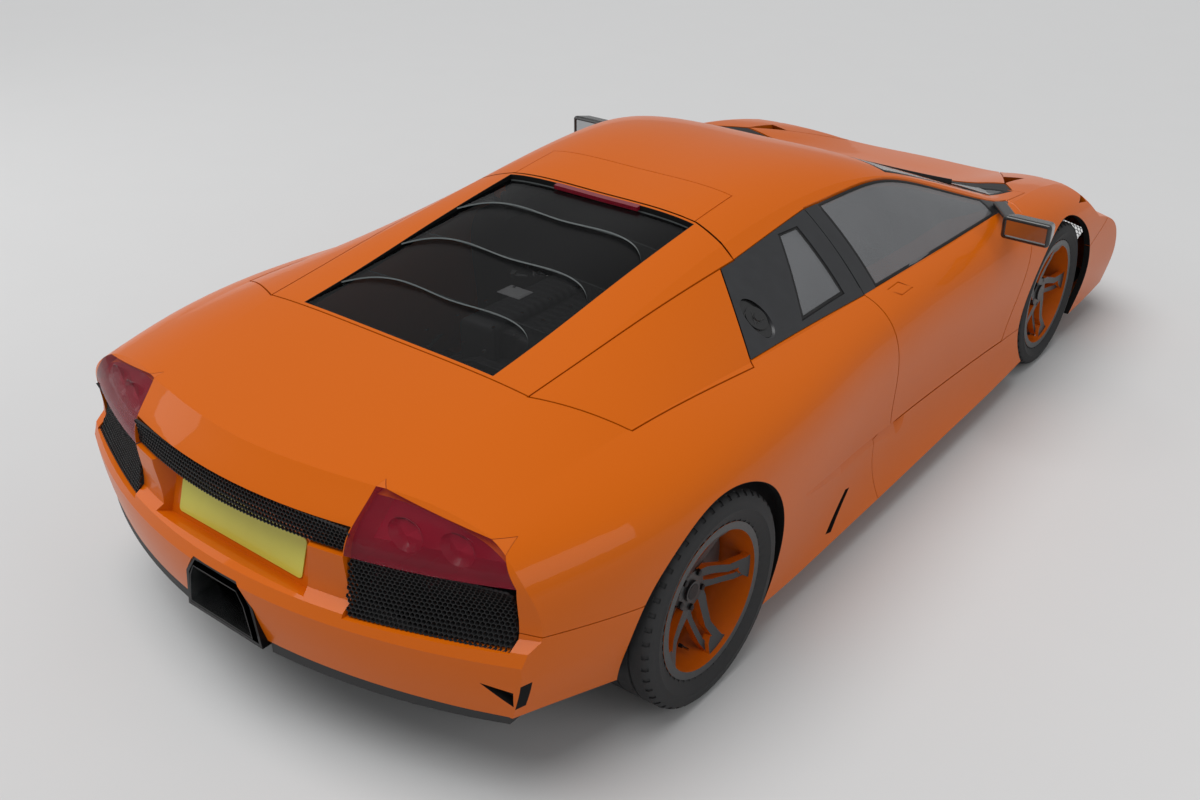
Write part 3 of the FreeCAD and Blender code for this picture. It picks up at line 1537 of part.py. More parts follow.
def rear_frame():
    """Rails beside the engine, posts for the lower arms, crash beams and the rails under the engine lid."""
    y_bulk = behind_axle(bulkhead_back)
    y_beam = behind_axle(rear_beam_back)
    y_lid = behind_axle(lid_hinge_back)
    rail_outer = rear_rail_half + rear_rail_width
    members = both_sides(rear_rail_half, rail_outer, y_bulk, y_beam, rear_rail_low, rear_rail_low + beam_height)
    members += both_sides(rear_beam_inner, rear_beam_half, y_beam - rear_rail_width, y_beam, rear_rail_low,
                          rear_rail_low + beam_height)
    for sign in (-1, 1):
        y_arm = y_rear_axle + sign * rear_arm_spread
        members += both_sides(rear_rail_half, rail_outer, y_arm - rear_post_depth / 2, y_arm + rear_post_depth / 2,
                              rear_lower_arm_height - rear_post_depth / 2, rear_rail_low + beam_height)
        members += hinge_post(y_lid, lid_hinge_height, sign * lid_lug_half, lid_lug_width, lid_rail_low)
    members += both_sides(lid_lug_half - lid_rail_width / 2, lid_lug_half + lid_rail_width / 2, y_bulk,
                          y_lid + hinge_lug_r, lid_rail_low, lid_rail_low + lid_rail_height)
    return members


def chassis():
    """The whole frame, in one welded piece."""
    frame = fused(tub() + front_frame() + rear_frame() + door_pin() + [mirrored(shape) for shape in door_pin()])
    return biggest(frame.cut([luggage_room(), wheel_room(), mirrored(wheel_room())]))


# Front suspension: a wishbone above and below each steered upright.
ball_joint_r = 13.0
joint_eye_r = 24.0
arm_thickness = 28.0
arm_leg_width = 34.0
front_lower_arm_height = 180.0
front_upper_arm_height = 450.0
front_arm_spread = 110.0
bush_r = 19.0
bush_length = 52.0
upright_inner = 22.5
upright_outer = 12.5
upright_depth = 70.0
upright_slack = 6.0
spindle_r = 22.0
disc_gap = 17.5
front_disc_r = 185.0
front_disc_thickness = 28.0
front_hub_nose_r = 56.0
caliper_cheek = 10.0
caliper_gap = 5.0
caliper_depth = 66.0
caliper_rise = 12.0
caliper_angle = 24.0


def wishbone(x_joint, y_axle, z, x_inner, spread, eye_r):
    """Two legs that spread from the eye at the upright to two bushes at the frame."""
    low = z - arm_thickness / 2
    x_bush = x_inner + bush_r + seat_gap
    half = arm_leg_width / 2
    parts = [Part.makeCylinder(eye_r, arm_thickness, at(x_joint, y_axle, low))]
    for sign in (-1, 1):
        y_bush = y_axle + sign * spread
        leg = [(x_joint, y_axle - half), (x_joint, y_axle + half), (x_bush, y_bush + half), (x_bush, y_bush - half)]
        parts.append(top_prism(leg, low, low + arm_thickness))
        parts.append(Part.makeCylinder(bush_r, bush_length, at(x_bush, y_bush - bush_length / 2, z), at(0, 1, 0)))
    return parts


def front_arms():
    arms = []
    for z in (front_lower_arm_height, front_upper_arm_height):
        arm = fused(wishbone(x_kingpin, y_front_axle, z, front_half, front_arm_spread, joint_eye_r))
        bore = Part.makeCylinder(ball_joint_r + pin_gap, arm_thickness, at(x_kingpin, y_front_axle, z - arm_thickness / 2))
        arm = arm.cut(bore)
        arms += [arm, mirrored(arm)]
    return Part.makeCompound(arms)


def caliper(y_axle, z_axle, disc_low, disc_thickness, disc_r, towards, bracket_low):
    """A brake caliper over the disc's rim, with a bracket back to the upright, before or behind the axle."""
    def sector(r_low, r_high, x_low, x_high):
        angle = math.radians(caliper_angle)
        def corner(r, turn):
            return (y_axle + towards * r * math.cos(turn), z_axle + r * math.sin(turn))
        points = [corner(r_low, -angle), corner(r_high, -angle), (corner(r_high, 0.0), corner(r_high, angle)),
                  corner(r_low, angle), (corner(r_low, 0.0), corner(r_low, -angle))]
        return side_prism(points[:4] + [points[4]], x_low, x_high)
    disc_high = disc_low + disc_thickness
    r_top = disc_r + caliper_gap + caliper_rise
    body = sector(disc_r - caliper_depth, r_top, disc_low - caliper_gap - caliper_cheek,
                  disc_high + caliper_gap + caliper_cheek)
    slot = sector(disc_r - caliper_depth - overrun, disc_r + caliper_gap,
                  disc_low - caliper_gap, disc_high + caliper_gap)
    near, far = y_axle, y_axle + towards * (disc_r - caliper_depth / 2)
    bracket = box((bracket_low, min(near, far), z_axle - upright_depth / 2),
                  (disc_low - caliper_gap, max(near, far), z_axle + upright_depth / 2))
    return body.cut(slot).fuse(bracket)


def knuckle():
    """The left front upright: kingpin ends, spindle and brake caliper."""
    x_low, x_high = x_kingpin - upright_inner, x_kingpin + upright_outer
    low = front_lower_arm_height + arm_thickness / 2 + upright_slack
    high = front_upper_arm_height - arm_thickness / 2 - upright_slack
    half = upright_depth / 2
    block = box((x_low, y_front_axle - half, low), (x_high, y_front_axle + half, high))
    disc_low = x_high + disc_gap
    x_nose = front_spoke_inner() - caliper_gap
    parts = [
        Part.makeCylinder(ball_joint_r, front_upper_arm_height - front_lower_arm_height + arm_thickness,
                          at(x_kingpin, y_front_axle, front_lower_arm_height - arm_thickness / 2)),
        rod(spindle_r, at(x_kingpin, y_front_axle, front_tyre_r), at(x_nose, y_front_axle, front_tyre_r)),
        caliper(y_front_axle, front_tyre_r, disc_low, front_disc_thickness, front_disc_r, 1, x_low),
    ]
    return biggest(block.fuse(parts))


def front_spoke_inner():
    return x_front_wheel + front_rim_half - front_dish - spoke_thickness


def rear_spoke_inner():
    return x_rear_wheel + rear_rim_half - rear_dish - spoke_thickness


def stepped_shaft(steps, y, z, bore_r=0.0):
    """A turned piece across the car, from pairs of radius and the place where that radius ends."""
    (start, *rest) = steps
    pieces = []
    here = start
    for radius, there in rest:
        pieces.append(rod(radius, at(here, y, z), at(there, y, z)))
        here = there
    turned = fused(pieces)
    if bore_r > 0:
        turned = turned.cut(rod(bore_r, at(start, y, z), at(here, y, z)))
    return turned


def front_hub():
    """Brake disc and hub of the left front wheel, on the spindle."""
    disc_low = x_kingpin + upright_outer + disc_gap
    disc_high = disc_low + front_disc_thickness
    steps = [disc_low, (front_disc_r, disc_high), (front_hub_nose_r, front_spoke_inner() - seat_gap)]
    return stepped_shaft(steps, y_front_axle, front_tyre_r, spindle_r + pin_gap)


# Rear suspension: fixed uprights on wishbones, and half shafts from the gearbox.
rear_lower_arm_height = 250.0
rear_upper_arm_height = 423.0
rear_arm_spread = 105.0
rear_post_depth = 52.0
carrier_inner = 58.0
carrier_thickness = 32.0
rear_hub_r = 42.0
rear_hub_nose_r = 58.0
rear_disc_r = 190.0
rear_disc_thickness = 28.0
rear_disc_gap = 18.0
half_shaft_r = 16.0
gearbox_half = 170.0


def rear_carrier_low():
    return x_rear_wheel - carrier_inner


def rear_uprights():
    """Upright, caliper and arms behind each rear wheel."""
    low = rear_carrier_low()
    high = low + carrier_thickness
    half = upright_depth / 2
    z_low, z_high = rear_lower_arm_height - arm_thickness / 2, rear_upper_arm_height + arm_thickness / 2
    block = box((low, y_rear_axle - half, z_low), (high, y_rear_axle + half, z_high))
    parts = []
    for z in (rear_lower_arm_height, rear_upper_arm_height):
        parts += wishbone(low + bush_r, y_rear_axle, z, rear_rail_half + rear_rail_width, rear_arm_spread, bush_r)
    parts.append(caliper(y_rear_axle, rear_tyre_r, high + rear_disc_gap, rear_disc_thickness, rear_disc_r, -1, low))
    bore = rod(rear_hub_r + pin_gap, at(low - overrun, y_rear_axle, rear_tyre_r),
               at(high + rear_disc_gap, y_rear_axle, rear_tyre_r))
    return pair(biggest(block.fuse(parts).cut(bore)))


def rear_hub():
    """Half shaft, hub and brake disc of the left rear wheel."""
    low = rear_carrier_low()
    disc_low = low + carrier_thickness + rear_disc_gap
    steps = [gearbox_half + seat_gap, (half_shaft_r, low - upright_slack), (rear_hub_r, disc_low),
             (rear_disc_r, disc_low + rear_disc_thickness), (rear_hub_nose_r, rear_spoke_inner() - seat_gap)]
    return stepped_shaft(steps, y_rear_axle, rear_tyre_r)


# Wheels. Five legs slope from the hub out to the rim, each with a thinner one behind it that meets it at the rim.
rim_bead_r = 222.0
rim_flange_r = 236.0
rim_wall = 9.0
rim_flange = 12.0
rim_lip = 2.0
front_rim_half = 108.0
rear_rim_half = 152.0
front_dish = 38.0
rear_dish = 75.0
lip_dish = 10.0
companion_drop = 14.0
spoke_thickness = 24.0
spoke_count = 5
first_spoke_angle = 4.0
wheel_hub_r = 60.0
cap_disc_r = 32.0
cap_disc_rise = 8.0
tyre_shoulder_width_share = 0.07
tyre_shoulder_drop_share = 0.22
tyre_side_share = 0.44
# Legs as distance from the hub over the bead radius, angle from the leg's tip in degrees, and half width over the
# bead radius.
main_leg_shares = [
    (0.225, 36.0, 0.080), (0.333, 23.0, 0.068), (0.477, 8.0, 0.060), (0.662, -1.0, 0.058), (0.975, 0.0, 0.066),
]
side_leg_shares = [(0.225, -24.0, 0.062), (0.491, -20.0, 0.045), (0.802, -16.0, 0.045), (0.982, -12.0, 0.052)]
foot_shares = [(0.980, -17.0), (0.860, -13.0), (0.800, -7.0), (0.860, 2.0), (0.980, 6.0)]


def leg_outline(shares, turn):
    """The outline of a curved leg in the wheel's plane, forward and up from the hub."""
    middle = []
    for radius, angle, half in shares:
        phi = math.radians(turn + angle)
        middle.append((-radius * rim_bead_r * math.cos(phi), radius * rim_bead_r * math.sin(phi), half * rim_bead_r))
    sides = ([], [])
    for k, (u, v, half) in enumerate(middle):
        before, after = middle[max(k - 1, 0)], middle[min(k + 1, len(middle) - 1)]
        run = (after[0] - before[0], after[1] - before[1])
        size = math.hypot(*run)
        sides[0].append((u - run[1] * half / size, v + run[0] * half / size))
        sides[1].append((u + run[1] * half / size, v - run[0] * half / size))
    return sides[0] + sides[1][::-1]


def dish(rim_half, depth, drop):
    """The hollow that the spokes follow, turned about the wheel's axis."""
    hub, lip = rim_half - depth - drop, rim_half - lip_dish - drop
    middle_r = (wheel_hub_r + rim_bead_r) / 2
    sag = depth / 2
    outer = [(hub, 0.0), (hub, wheel_hub_r), ((lip - sag, middle_r), (lip, rim_bead_r))]
    inner = [(lip - spoke_thickness, rim_bead_r),
             ((lip - sag - spoke_thickness, middle_r), (hub - spoke_thickness, wheel_hub_r)),
             (hub - spoke_thickness, 0.0)]
    profile = Part.Face(wire(outer + inner, lambda x, r: at(x, 0, r)))
    return profile.revolve(at(0, 0, 0), at(1, 0, 0), 360)


def rim(rim_half, depth):
    """One wheel about the x axis, its outside towards +x."""
    barrel_profile = [
        (-rim_half, rim_bead_r - rim_wall), (rim_half, rim_bead_r - rim_wall), (rim_half, rim_flange_r),
        (rim_half - rim_lip, rim_flange_r), (rim_half - rim_flange, rim_bead_r), (rim_flange - rim_half, rim_bead_r),
        (rim_lip - rim_half, rim_flange_r), (-rim_half, rim_flange_r),
    ]
    barrel = Part.Face(wire(barrel_profile, lambda x, r: at(x, 0, r))).revolve(at(0, 0, 0), at(1, 0, 0), 360)
    main, side = [], []
    for k in range(spoke_count):
        turn = first_spoke_angle + k * math.degrees(2 * math.pi / spoke_count)
        main.append(side_prism(leg_outline(main_leg_shares, turn), -rim_half, rim_half))
        foot = []
        for radius, angle in foot_shares:
            phi = math.radians(turn + angle)
            foot.append((-radius * rim_bead_r * math.cos(phi), radius * rim_bead_r * math.sin(phi)))
        main.append(side_prism(foot, -rim_half, rim_half))
        side.append(side_prism(leg_outline(side_leg_shares, turn), -rim_half, rim_half))
    hub = rod(wheel_hub_r, at(-rim_half, 0, 0), at(rim_half, 0, 0))
    face = dish(rim_half, depth, 0.0).common(hub.fuse(main))
    back = dish(rim_half, depth, companion_drop).common(Part.makeCompound(side))
    back = back.cut(hub)
    x_hub = rim_half - depth
    cap = rod(cap_disc_r, at(x_hub - spoke_thickness / 2, 0, 0), at(x_hub + cap_disc_rise, 0, 0))
    return biggest(barrel.fuse([face, back, cap]))


def tyre(rim_half, width, radius):
    """A plain tyre about the x axis, seated on the rim."""
    bead_half = rim_half - rim_flange - seat_gap
    height = radius - rim_bead_r
    half = width / 2
    shoulder = half - tyre_shoulder_width_share * width
    points = [(bead_half, rim_bead_r + seat_gap), (half, rim_bead_r + tyre_side_share * height),
              (shoulder + (half - shoulder) * tyre_side_share, radius - tyre_shoulder_drop_share * height),
              (shoulder - (half - shoulder), radius)]
    outline = points + [(-x, r) for x, r in reversed(points)]
    return Part.Face(wire(outline, lambda x, r: at(x, 0, r))).revolve(at(0, 0, 0), at(1, 0, 0), 360)


def placed(shape, x, y, z):
    moved = shape.copy()
    moved.translate(at(x, y, z))
    return moved


def front_rim():
    return placed(rim(front_rim_half, front_dish), x_front_wheel, y_front_axle, front_tyre_r)


def rear_rim():
    return placed(rim(rear_rim_half, rear_dish), x_rear_wheel, y_rear_axle, rear_tyre_r)


def front_tyre():
    return placed(tyre(front_rim_half, front_tyre_width, front_tyre_r), x_front_wheel, y_front_axle, front_tyre_r)


def rear_tyre():
    return placed(tyre(rear_rim_half, rear_tyre_width, rear_tyre_r), x_rear_wheel, y_rear_axle, rear_tyre_r)


# Engine: a vee under two intake covers, with the gearbox behind it.
engine_front_back = 1865.0
engine_rear_back = 2445.0
engine_low = 190.0
engine_foot_half = 150.0
engine_belt_half = 235.0
engine_belt_height = 330.0
engine_bank_half = 300.0
engine_bank_height = 560.0
engine_bank_low = 440.0
engine_valley_half = 110.0
engine_valley_height = 640.0
plenum_half = 120.0
plenum_width = 150.0
plenum_top = 760.0
plenum_setback = 40.0
plenum_round = 30.0
plenum_foot = 561.0
gearbox_low = 262.0
gearbox_high = 475.0
gearbox_rear_back = 2920.0
gearbox_corner = 60.0
engine_foot_y = 2150.0
engine_foot_length = 80.0
engine_foot_height = 50.0


def engine():
    front, rear = behind_axle(engine_front_back), behind_axle(engine_rear_back)
    half = [(engine_foot_half, engine_low), (engine_belt_half, engine_belt_height), (engine_bank_half, engine_bank_low),
            (engine_bank_half, engine_bank_height), (engine_valley_half, engine_valley_height)]
    block = end_prism(half + [(-x, z) for x, z in reversed(half)], front, rear)
    covers = []
    for sign in (-1, 1):
        middle = sign * plenum_half
        covers.append(box((middle - plenum_width / 2, front + plenum_setback, engine_bank_height),
                          (middle + plenum_width / 2, rear - plenum_setback, plenum_top)))
    covers = [cover.makeFillet(plenum_round, [edge for edge in cover.Edges if edge.BoundBox.ZMin > plenum_foot])
              for cover in covers]
    bridge = box((-plenum_half, front + 2 * plenum_setback, engine_bank_height),
                 (plenum_half, rear - 2 * plenum_setback, plenum_top - plenum_round))
    corner = gearbox_corner
    box_half = [(gearbox_half - corner, gearbox_low), (gearbox_half, gearbox_low + corner),
                (gearbox_half, gearbox_high - corner), (gearbox_half - corner, gearbox_high)]
    gearbox = end_prism(box_half + [(-x, z) for x, z in reversed(box_half)], rear, behind_axle(gearbox_rear_back))
    y_foot = behind_axle(engine_foot_y)
    foot = box((-rear_rail_half + seat_gap, y_foot, rear_rail_low),
               (rear_rail_half - seat_gap, y_foot + engine_foot_length, rear_rail_low + engine_foot_height))
    return biggest(block.fuse(covers + [bridge, gearbox, foot]))


# Exhaust: silencer, outlet and its bright inner tip.
silencer_half = 300.0
silencer_front_back = 2985.0
silencer_rear_back = 3315.0
silencer_low = 345.0
silencer_high = 520.0
silencer_round = 40.0
tail_pipe_r = 62.0
inlet_pipe_r = 38.0
inlet_pipe_half = 110.0
tip_gap = 14.0
tip_wall = 4.0


def exhaust():
    front, rear = behind_axle(silencer_front_back), behind_axle(silencer_rear_back)
    can = box((-silencer_half, front, silencer_low), (silencer_half, rear, silencer_high))
    can = can.makeFillet(silencer_round, [edge for edge in can.Edges if edge.BoundBox.XLength > silencer_half])
    y_outlet = y_tail - outlet_depth
    tube = end_prism(outlet_outline(outlet_wall), y_outlet, y_tail - outlet_inset)
    tube = tube.cut(end_prism(outlet_outline(0.0), y_outlet + outlet_wall, y_tail))
    z_pipe = (outlet_top_height + outlet_foot_height) / 2
    pipe = rod(tail_pipe_r, at(0, rear - outlet_wall, z_pipe), at(0, y_outlet + outlet_wall / 2, z_pipe))
    parts = [tube, pipe]
    for sign in (-1, 1):
        start = at(sign * inlet_pipe_half, behind_axle(gearbox_rear_back) + seat_gap, gearbox_high - 2 * inlet_pipe_r)
        parts.append(rod(inlet_pipe_r, start, at(start.x, front + silencer_round, start.z)))
    return biggest(can.fuse(parts))


def exhaust_tip():
    low = y_tail - outlet_depth + outlet_wall + seat_gap
    bore = end_prism(outlet_outline(-tip_gap - tip_wall), low, y_tail)
    return end_prism(outlet_outline(-tip_gap), low, y_tail).cut(bore)


# Cabin.
seat_middle = 370.0
seat_width = 470.0
seat_front_back = 790.0
seat_hip_back = 1235.0
seat_rear_back = 1490.0
seat_cushion_front = 330.0
seat_cushion_rear = 262.0
seat_top = 875.0
seat_back_thickness = 115.0
bolster_width = 85.0
bolster_rise = 62.0


def seats():
    """Two bucket seats, each one cushion and one back with raised sides."""
    floor_z = tub_floor_top + seat_gap
    front, hip, rear = behind_axle(seat_front_back), behind_axle(seat_hip_back), behind_axle(seat_rear_back)
    def outline(rise):
        lean = rear - hip - seat_back_thickness
        return [
            (front, floor_z), (hip + lean / 2, floor_z), (rear, seat_top), (rear - seat_back_thickness, seat_top),
            (hip - rise, seat_cushion_rear + rise), (front + rise, seat_cushion_front + rise),
            (front, seat_cushion_front - rise / 2),
        ]
    low = seat_middle - seat_width / 2
    cushion = side_prism(outline(0.0), low, low + seat_width)
    sides = [side_prism(outline(bolster_rise), x, x + bolster_width) for x in (low, low + seat_width - bolster_width)]
    return pair(biggest(cushion.fuse(sides)))


dash_front_back = 120.0
dash_rear_back = 640.0
dash_half = 635.0
dash_top = 800.0
dash_rear_top = 762.0
dash_rear_low = 672.0
dash_knee_back = 545.0
dash_knee_height = 480.0
console_half = 112.0
console_rear_back = 1010.0
console_height = 400.0
column_r = 30.0
column_length = 286.0
steering_wheel_back = 800.0
steering_wheel_height = 655.0
steering_wheel_r = 172.0
steering_rim_r = 14.0
steering_spoke_r = 11.2
steering_hub_r = 48.0
steering_hub_depth = 46.0
steering_stub_r = 15.0
steering_lean = 25.0


def steering_point(distance):
    """A place on the steering column, this far from the wheel's middle towards the driver."""
    lean = math.radians(steering_lean)
    return at(-seat_middle, behind_axle(steering_wheel_back) + distance * math.cos(lean),
              steering_wheel_height + distance * math.sin(lean))


def dashboard():
    """Dash, centre console and the fixed part of the steering column."""
    y_fire = behind_axle(firewall_back) + firewall_thickness + seat_gap
    cowl_top = hinge_rail_low + tub_wall + seat_gap
    front, rear = behind_axle(dash_front_back), behind_axle(dash_rear_back)
    outline = [
        (front, cowl_top), (front, dash_top), (rear - bolster_width, dash_top), (rear, dash_rear_top),
        (rear, dash_rear_low), (behind_axle(dash_knee_back), dash_knee_height), (y_fire, dash_knee_height),
        (y_fire, cowl_top),
    ]
    dash = side_prism(outline, -dash_half, dash_half).common(hull(skin + seat_gap))
    console = side_prism([
        (y_fire, tunnel_height + seat_gap), (behind_axle(console_rear_back), tunnel_height + seat_gap),
        (behind_axle(console_rear_back), console_height), (behind_axle(dash_knee_back), dash_knee_height + overrun),
        (y_fire, dash_knee_height + overrun),
    ], -console_half, console_half)
    column = rod(column_r, steering_point(-steering_hub_depth - seat_gap), steering_point(-column_length))
    whole = dash.fuse([console, column])
    start = steering_point(-steering_hub_depth)
    bore = rod(steering_stub_r + pin_gap, start, steering_point(-steering_hub_depth - overrun - seat_gap))
    return biggest(whole.cut(bore))


def steering_wheel():
    """Rim, three spokes and hub, with a stub that turns in the column."""
    centre = steering_point(0.0)
    axis = steering_point(1.0) - centre
    ring = Part.makeTorus(steering_wheel_r, steering_rim_r, centre, axis)
    hub = rod(steering_hub_r, steering_point(-steering_hub_depth), steering_point(0.0))
    stub = rod(steering_stub_r, steering_point(-steering_hub_depth - overrun), steering_point(-steering_hub_depth / 2))
    across, down = at(1, 0, 0), axis.cross(at(1, 0, 0))
    down = down if down.z < 0 else down * -1
    parts = [hub, stub]
    for direction in (across, across * -1, down):
        parts.append(rod(steering_spoke_r, steering_point(-steering_rim_r), centre + direction * steering_wheel_r))
    return biggest(ring.fuse(parts))


# Small things on the body.
cap_wall = 7.0
cap_notch_r = 9.0
cap_notch_ring_share = 1.02
cap_notch_count = 10
wiper_width = 15.0
wiper_height = 13.0
wiper_ahead_of_foot = 26.0
wiper_spans_share = [(0.62, -0.06), (0.02, -0.60)]


def cap_room(grow):
    return rod(cap_radius + grow, at(0, behind_axle(cap_back), cap_height), at(-x_far, behind_axle(cap_back), cap_height))


def filler_cap():
    """The round cap in the right quarter panel, with a notched edge."""
    disc = layer(glass_inset, skin - cap_wall).common(cap_room(0.0))
    ring = cap_radius * cap_notch_ring_share
    for k in range(cap_notch_count):
        angle = 2 * math.pi * k / cap_notch_count
        y, z = angle_point((behind_axle(cap_back), cap_height), ring, angle)
        disc = disc.cut(rod(cap_notch_r, at(0, y, z), at(-x_far, y, z)))
    return biggest(disc)


def wipers():
    """Two arms that lie along the windscreen's foot."""
    arms = []
    for start_share, end_share in wiper_spans_share:
        places = []
        for share in (start_share, (start_share + end_share) / 2, end_share):
            foot = behind_axle(windscreen_foot_back) - windscreen_foot_bow * (1 - share ** 2)
            places.append((share * windscreen_foot_half, foot + wiper_ahead_of_foot))
        a, middle, b = places
        back = [(x, y + wiper_width) for x, y in places]
        strip = top_prism([a, (middle, b), back[2], (back[1], back[0])], belt_height - skin - overrun)
        arms.append(biggest(layer(-wiper_height, glass_inset - seat_gap).common(strip)))
    return Part.makeCompound(arms)


# Every node, with the function that makes it. The second table's are made on the left and mirrored.
nodes = {
    "chassis": chassis, "undertray": undertray, "front_bumper": front_bumper, "front_fenders": front_fenders,
    "cowl": cowl, "roof": roof, "windscreen": windscreen, "side_sills": side_sills, "rear_body": rear_body,
    "rear_bumper": rear_bumper, "rear_lips": rear_lips, "quarter_panels": quarter_panels,
    "quarter_glass": quarter_glass, "filler_cap": filler_cap, "engine": engine, "seats": seats,
    "dashboard": dashboard, "head_lamps": head_lamps, "tail_lamps": tail_lamps, "nose_grilles": nose_grilles,
    "tail_grilles": tail_grilles, "exhaust": exhaust, "exhaust_tip": exhaust_tip, "number_plate": number_plate,
    "wipers": wipers, "front_arms": front_arms, "rear_uprights": rear_uprights, "bonnet": bonnet,
    "engine_lid": lid_panel, "lid_panes": lid_panes, "stop_lamp": stop_lamp, "steering_wheel": steering_wheel,
}
left_nodes = {
    "knuckle": knuckle, "front_hub": front_hub, "front_rim": front_rim, "front_tyre": front_tyre,
    "rear_hub": rear_hub, "rear_rim": rear_rim, "rear_tyre": rear_tyre, "door": door, "door_glass": door_glass,
    "window_trim": window_trim, "mirror": mirror, "intake_flap": intake_flap,
}


def export():
    os.makedirs("parts", exist_ok=True)
    for name, make in nodes.items():
        make().exportStep(f"parts/{name}.step")
    for name, make in left_nodes.items():
        left = make()
        left.exportStep(f"parts/{name}_left.step")
        mirrored(left).exportStep(f"parts/{name}_right.step")


if __name__ == "__main__":
    export()
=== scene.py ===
import math

import bmesh
import bpy
import numpy
from mathutils import Matrix, Vector


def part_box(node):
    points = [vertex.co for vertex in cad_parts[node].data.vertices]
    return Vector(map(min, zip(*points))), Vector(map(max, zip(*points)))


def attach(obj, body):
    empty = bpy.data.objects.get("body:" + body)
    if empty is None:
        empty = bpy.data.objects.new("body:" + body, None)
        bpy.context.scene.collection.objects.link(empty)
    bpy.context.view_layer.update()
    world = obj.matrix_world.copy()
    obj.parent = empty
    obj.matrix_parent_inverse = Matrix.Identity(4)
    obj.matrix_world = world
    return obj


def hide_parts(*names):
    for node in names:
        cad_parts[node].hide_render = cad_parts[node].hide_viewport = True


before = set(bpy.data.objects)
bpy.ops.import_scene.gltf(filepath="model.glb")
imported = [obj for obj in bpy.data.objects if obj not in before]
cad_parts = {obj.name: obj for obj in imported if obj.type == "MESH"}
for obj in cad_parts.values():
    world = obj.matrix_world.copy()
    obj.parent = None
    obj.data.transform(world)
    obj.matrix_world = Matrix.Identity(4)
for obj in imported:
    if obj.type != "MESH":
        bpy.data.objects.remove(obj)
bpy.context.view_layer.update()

# Tub, crossbeams and floor panel: black bonded carbon and painted alloy rails that carry everything else.
# They show in the door openings, under the engine lid and behind the wheels.


class Field:
    """What a node gives out over a surface, with arithmetic on it."""

    def __init__(self, finish, socket):
        self.finish = finish
        self.socket = socket

    def reckon(self, operation, first, second=0.0):
        return self.finish.node("ShaderNodeMath", {"operation": operation}, {0: first, 1: second})

    def __add__(self, other):
        return self.reckon("ADD", self, other)

    def __sub__(self, other):
        return self.reckon("SUBTRACT", self, other)

    def __rsub__(self, other):
        return self.reckon("SUBTRACT", other, self)

    def __mul__(self, other):
        return self.reckon("MULTIPLY", self, other)

    def __gt__(self, other):
        return self.reckon("GREATER_THAN", self, other)

    def __lt__(self, other):
        return self.reckon("LESS_THAN", self, other)

    def __or__(self, other):
        return self.reckon("MAXIMUM", self, other)

    def __abs__(self):
        return self.reckon("ABSOLUTE", self)

    __radd__ = __add__
    __rmul__ = __mul__


class Finish:
    """A surface finish: a Principled shader and the fields that vary it."""

    def __init__(self, name, **values):
        self.material = bpy.data.materials.new(name)
        self.material.use_nodes = True
        self.tree = self.material.node_tree
        self.shader = self.tree.nodes["Principled BSDF"]
        self.put(**values)

    def put(self, **values):
        """Feeds sockets of the shader, named with low lines for spaces."""
        for name, value in values.items():
            self.feed(self.shader.inputs[name.replace("_", " ")], value)

    def feed(self, socket, value):
        """Links a field to a socket, or sets the socket's own value."""
        if isinstance(value, Field):
            self.tree.links.new(value.socket, socket)
        elif socket.type == "RGBA":
            socket.default_value = (*value, 1.0)
        else:
            socket.default_value = value

    def node(self, kind, settings=None, inputs=None, out=0):
        """Any node, with its settings, then its sockets' values or links. Gives one of its outputs."""
        node = self.tree.nodes.new(kind)
        for name, value in (settings or {}).items():
            setattr(node, name, value)
        for name, value in (inputs or {}).items():
            self.feed(node.inputs[name], value)
        return Field(self, node.outputs[out])

    def place(self, output="Object"):
        return self.node("ShaderNodeTexCoord", out=output)

    def along(self, axis, output="Object"):
        """The place along one axis of the car, in metres."""
        return self.node("ShaderNodeSeparateXYZ", inputs={0: self.place(output)}, out=axis)

    def facing(self, axis):
        """How far the surface looks along an axis, from -1 to 1."""
        return self.along(axis, "Normal")

    def off_axle(self, axle):
        """Distance from an axle's line across the car."""
        spot = self.node("ShaderNodeMapping", inputs={
            "Vector": self.place(), "Location": (0.0, -axle.y, -axle.z), "Scale": (0.0, 1.0, 1.0)})
        return self.node("ShaderNodeVectorMath", {"operation": "LENGTH"}, {0: spot}, out="Value")

    def noise(self, scale, detail=3.0, stretch=(1.0, 1.0, 1.0)):
        spot = self.node("ShaderNodeMapping", inputs={"Vector": self.place(), "Scale": stretch})
        return self.node("ShaderNodeTexNoise", inputs={"Vector": spot, "Scale": scale, "Detail": detail})

    def cells(self, scale, out="Distance"):
        return self.node("ShaderNodeTexVoronoi", inputs={"Vector": self.place(), "Scale": scale}, out=out)

    def waves(self, axis, scale):
        """Straight bands across an axis."""
        return self.node("ShaderNodeTexWave", {"bands_direction": axis}, {
            "Vector": self.place(), "Scale": scale, "Distortion": 0.0})

    def blend(self, share, first, second):
        """Mixes two colours, first where the share is 0."""
        return self.node("ShaderNodeMix", {"data_type": "RGBA"}, {0: share, 6: first, 7: second}, out=2)

    def gloss(self, share, smooth, rough):
        """Roughness from smooth to rough as the share goes from 0 to 1."""
        self.put(Roughness=share * (rough - smooth) + smooth)

    def vary(self, share, first, second, smooth, rough):
        """Colour from first to second, and roughness from smooth to rough, by one share."""
        self.put(Base_Color=self.blend(share, first, second))
        self.gloss(share, smooth, rough)

    def relief(self, height, depth):
        """Bumps by a height field, with their depth in metres."""
        self.put(Normal=self.node("ShaderNodeBump", inputs={"Height": height, "Distance": depth}))

    def grain(self, scale, depth, detail=3.0, stretch=(1.0, 1.0, 1.0)):
        """Bumps of plain noise."""
        self.relief(self.noise(scale, detail, stretch), depth)


def dress(finish, *nodes):
    """Gives CAD nodes their finish."""
    for node in nodes:
        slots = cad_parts[node].data.materials
        slots.clear()
        slots.append(finish.material)


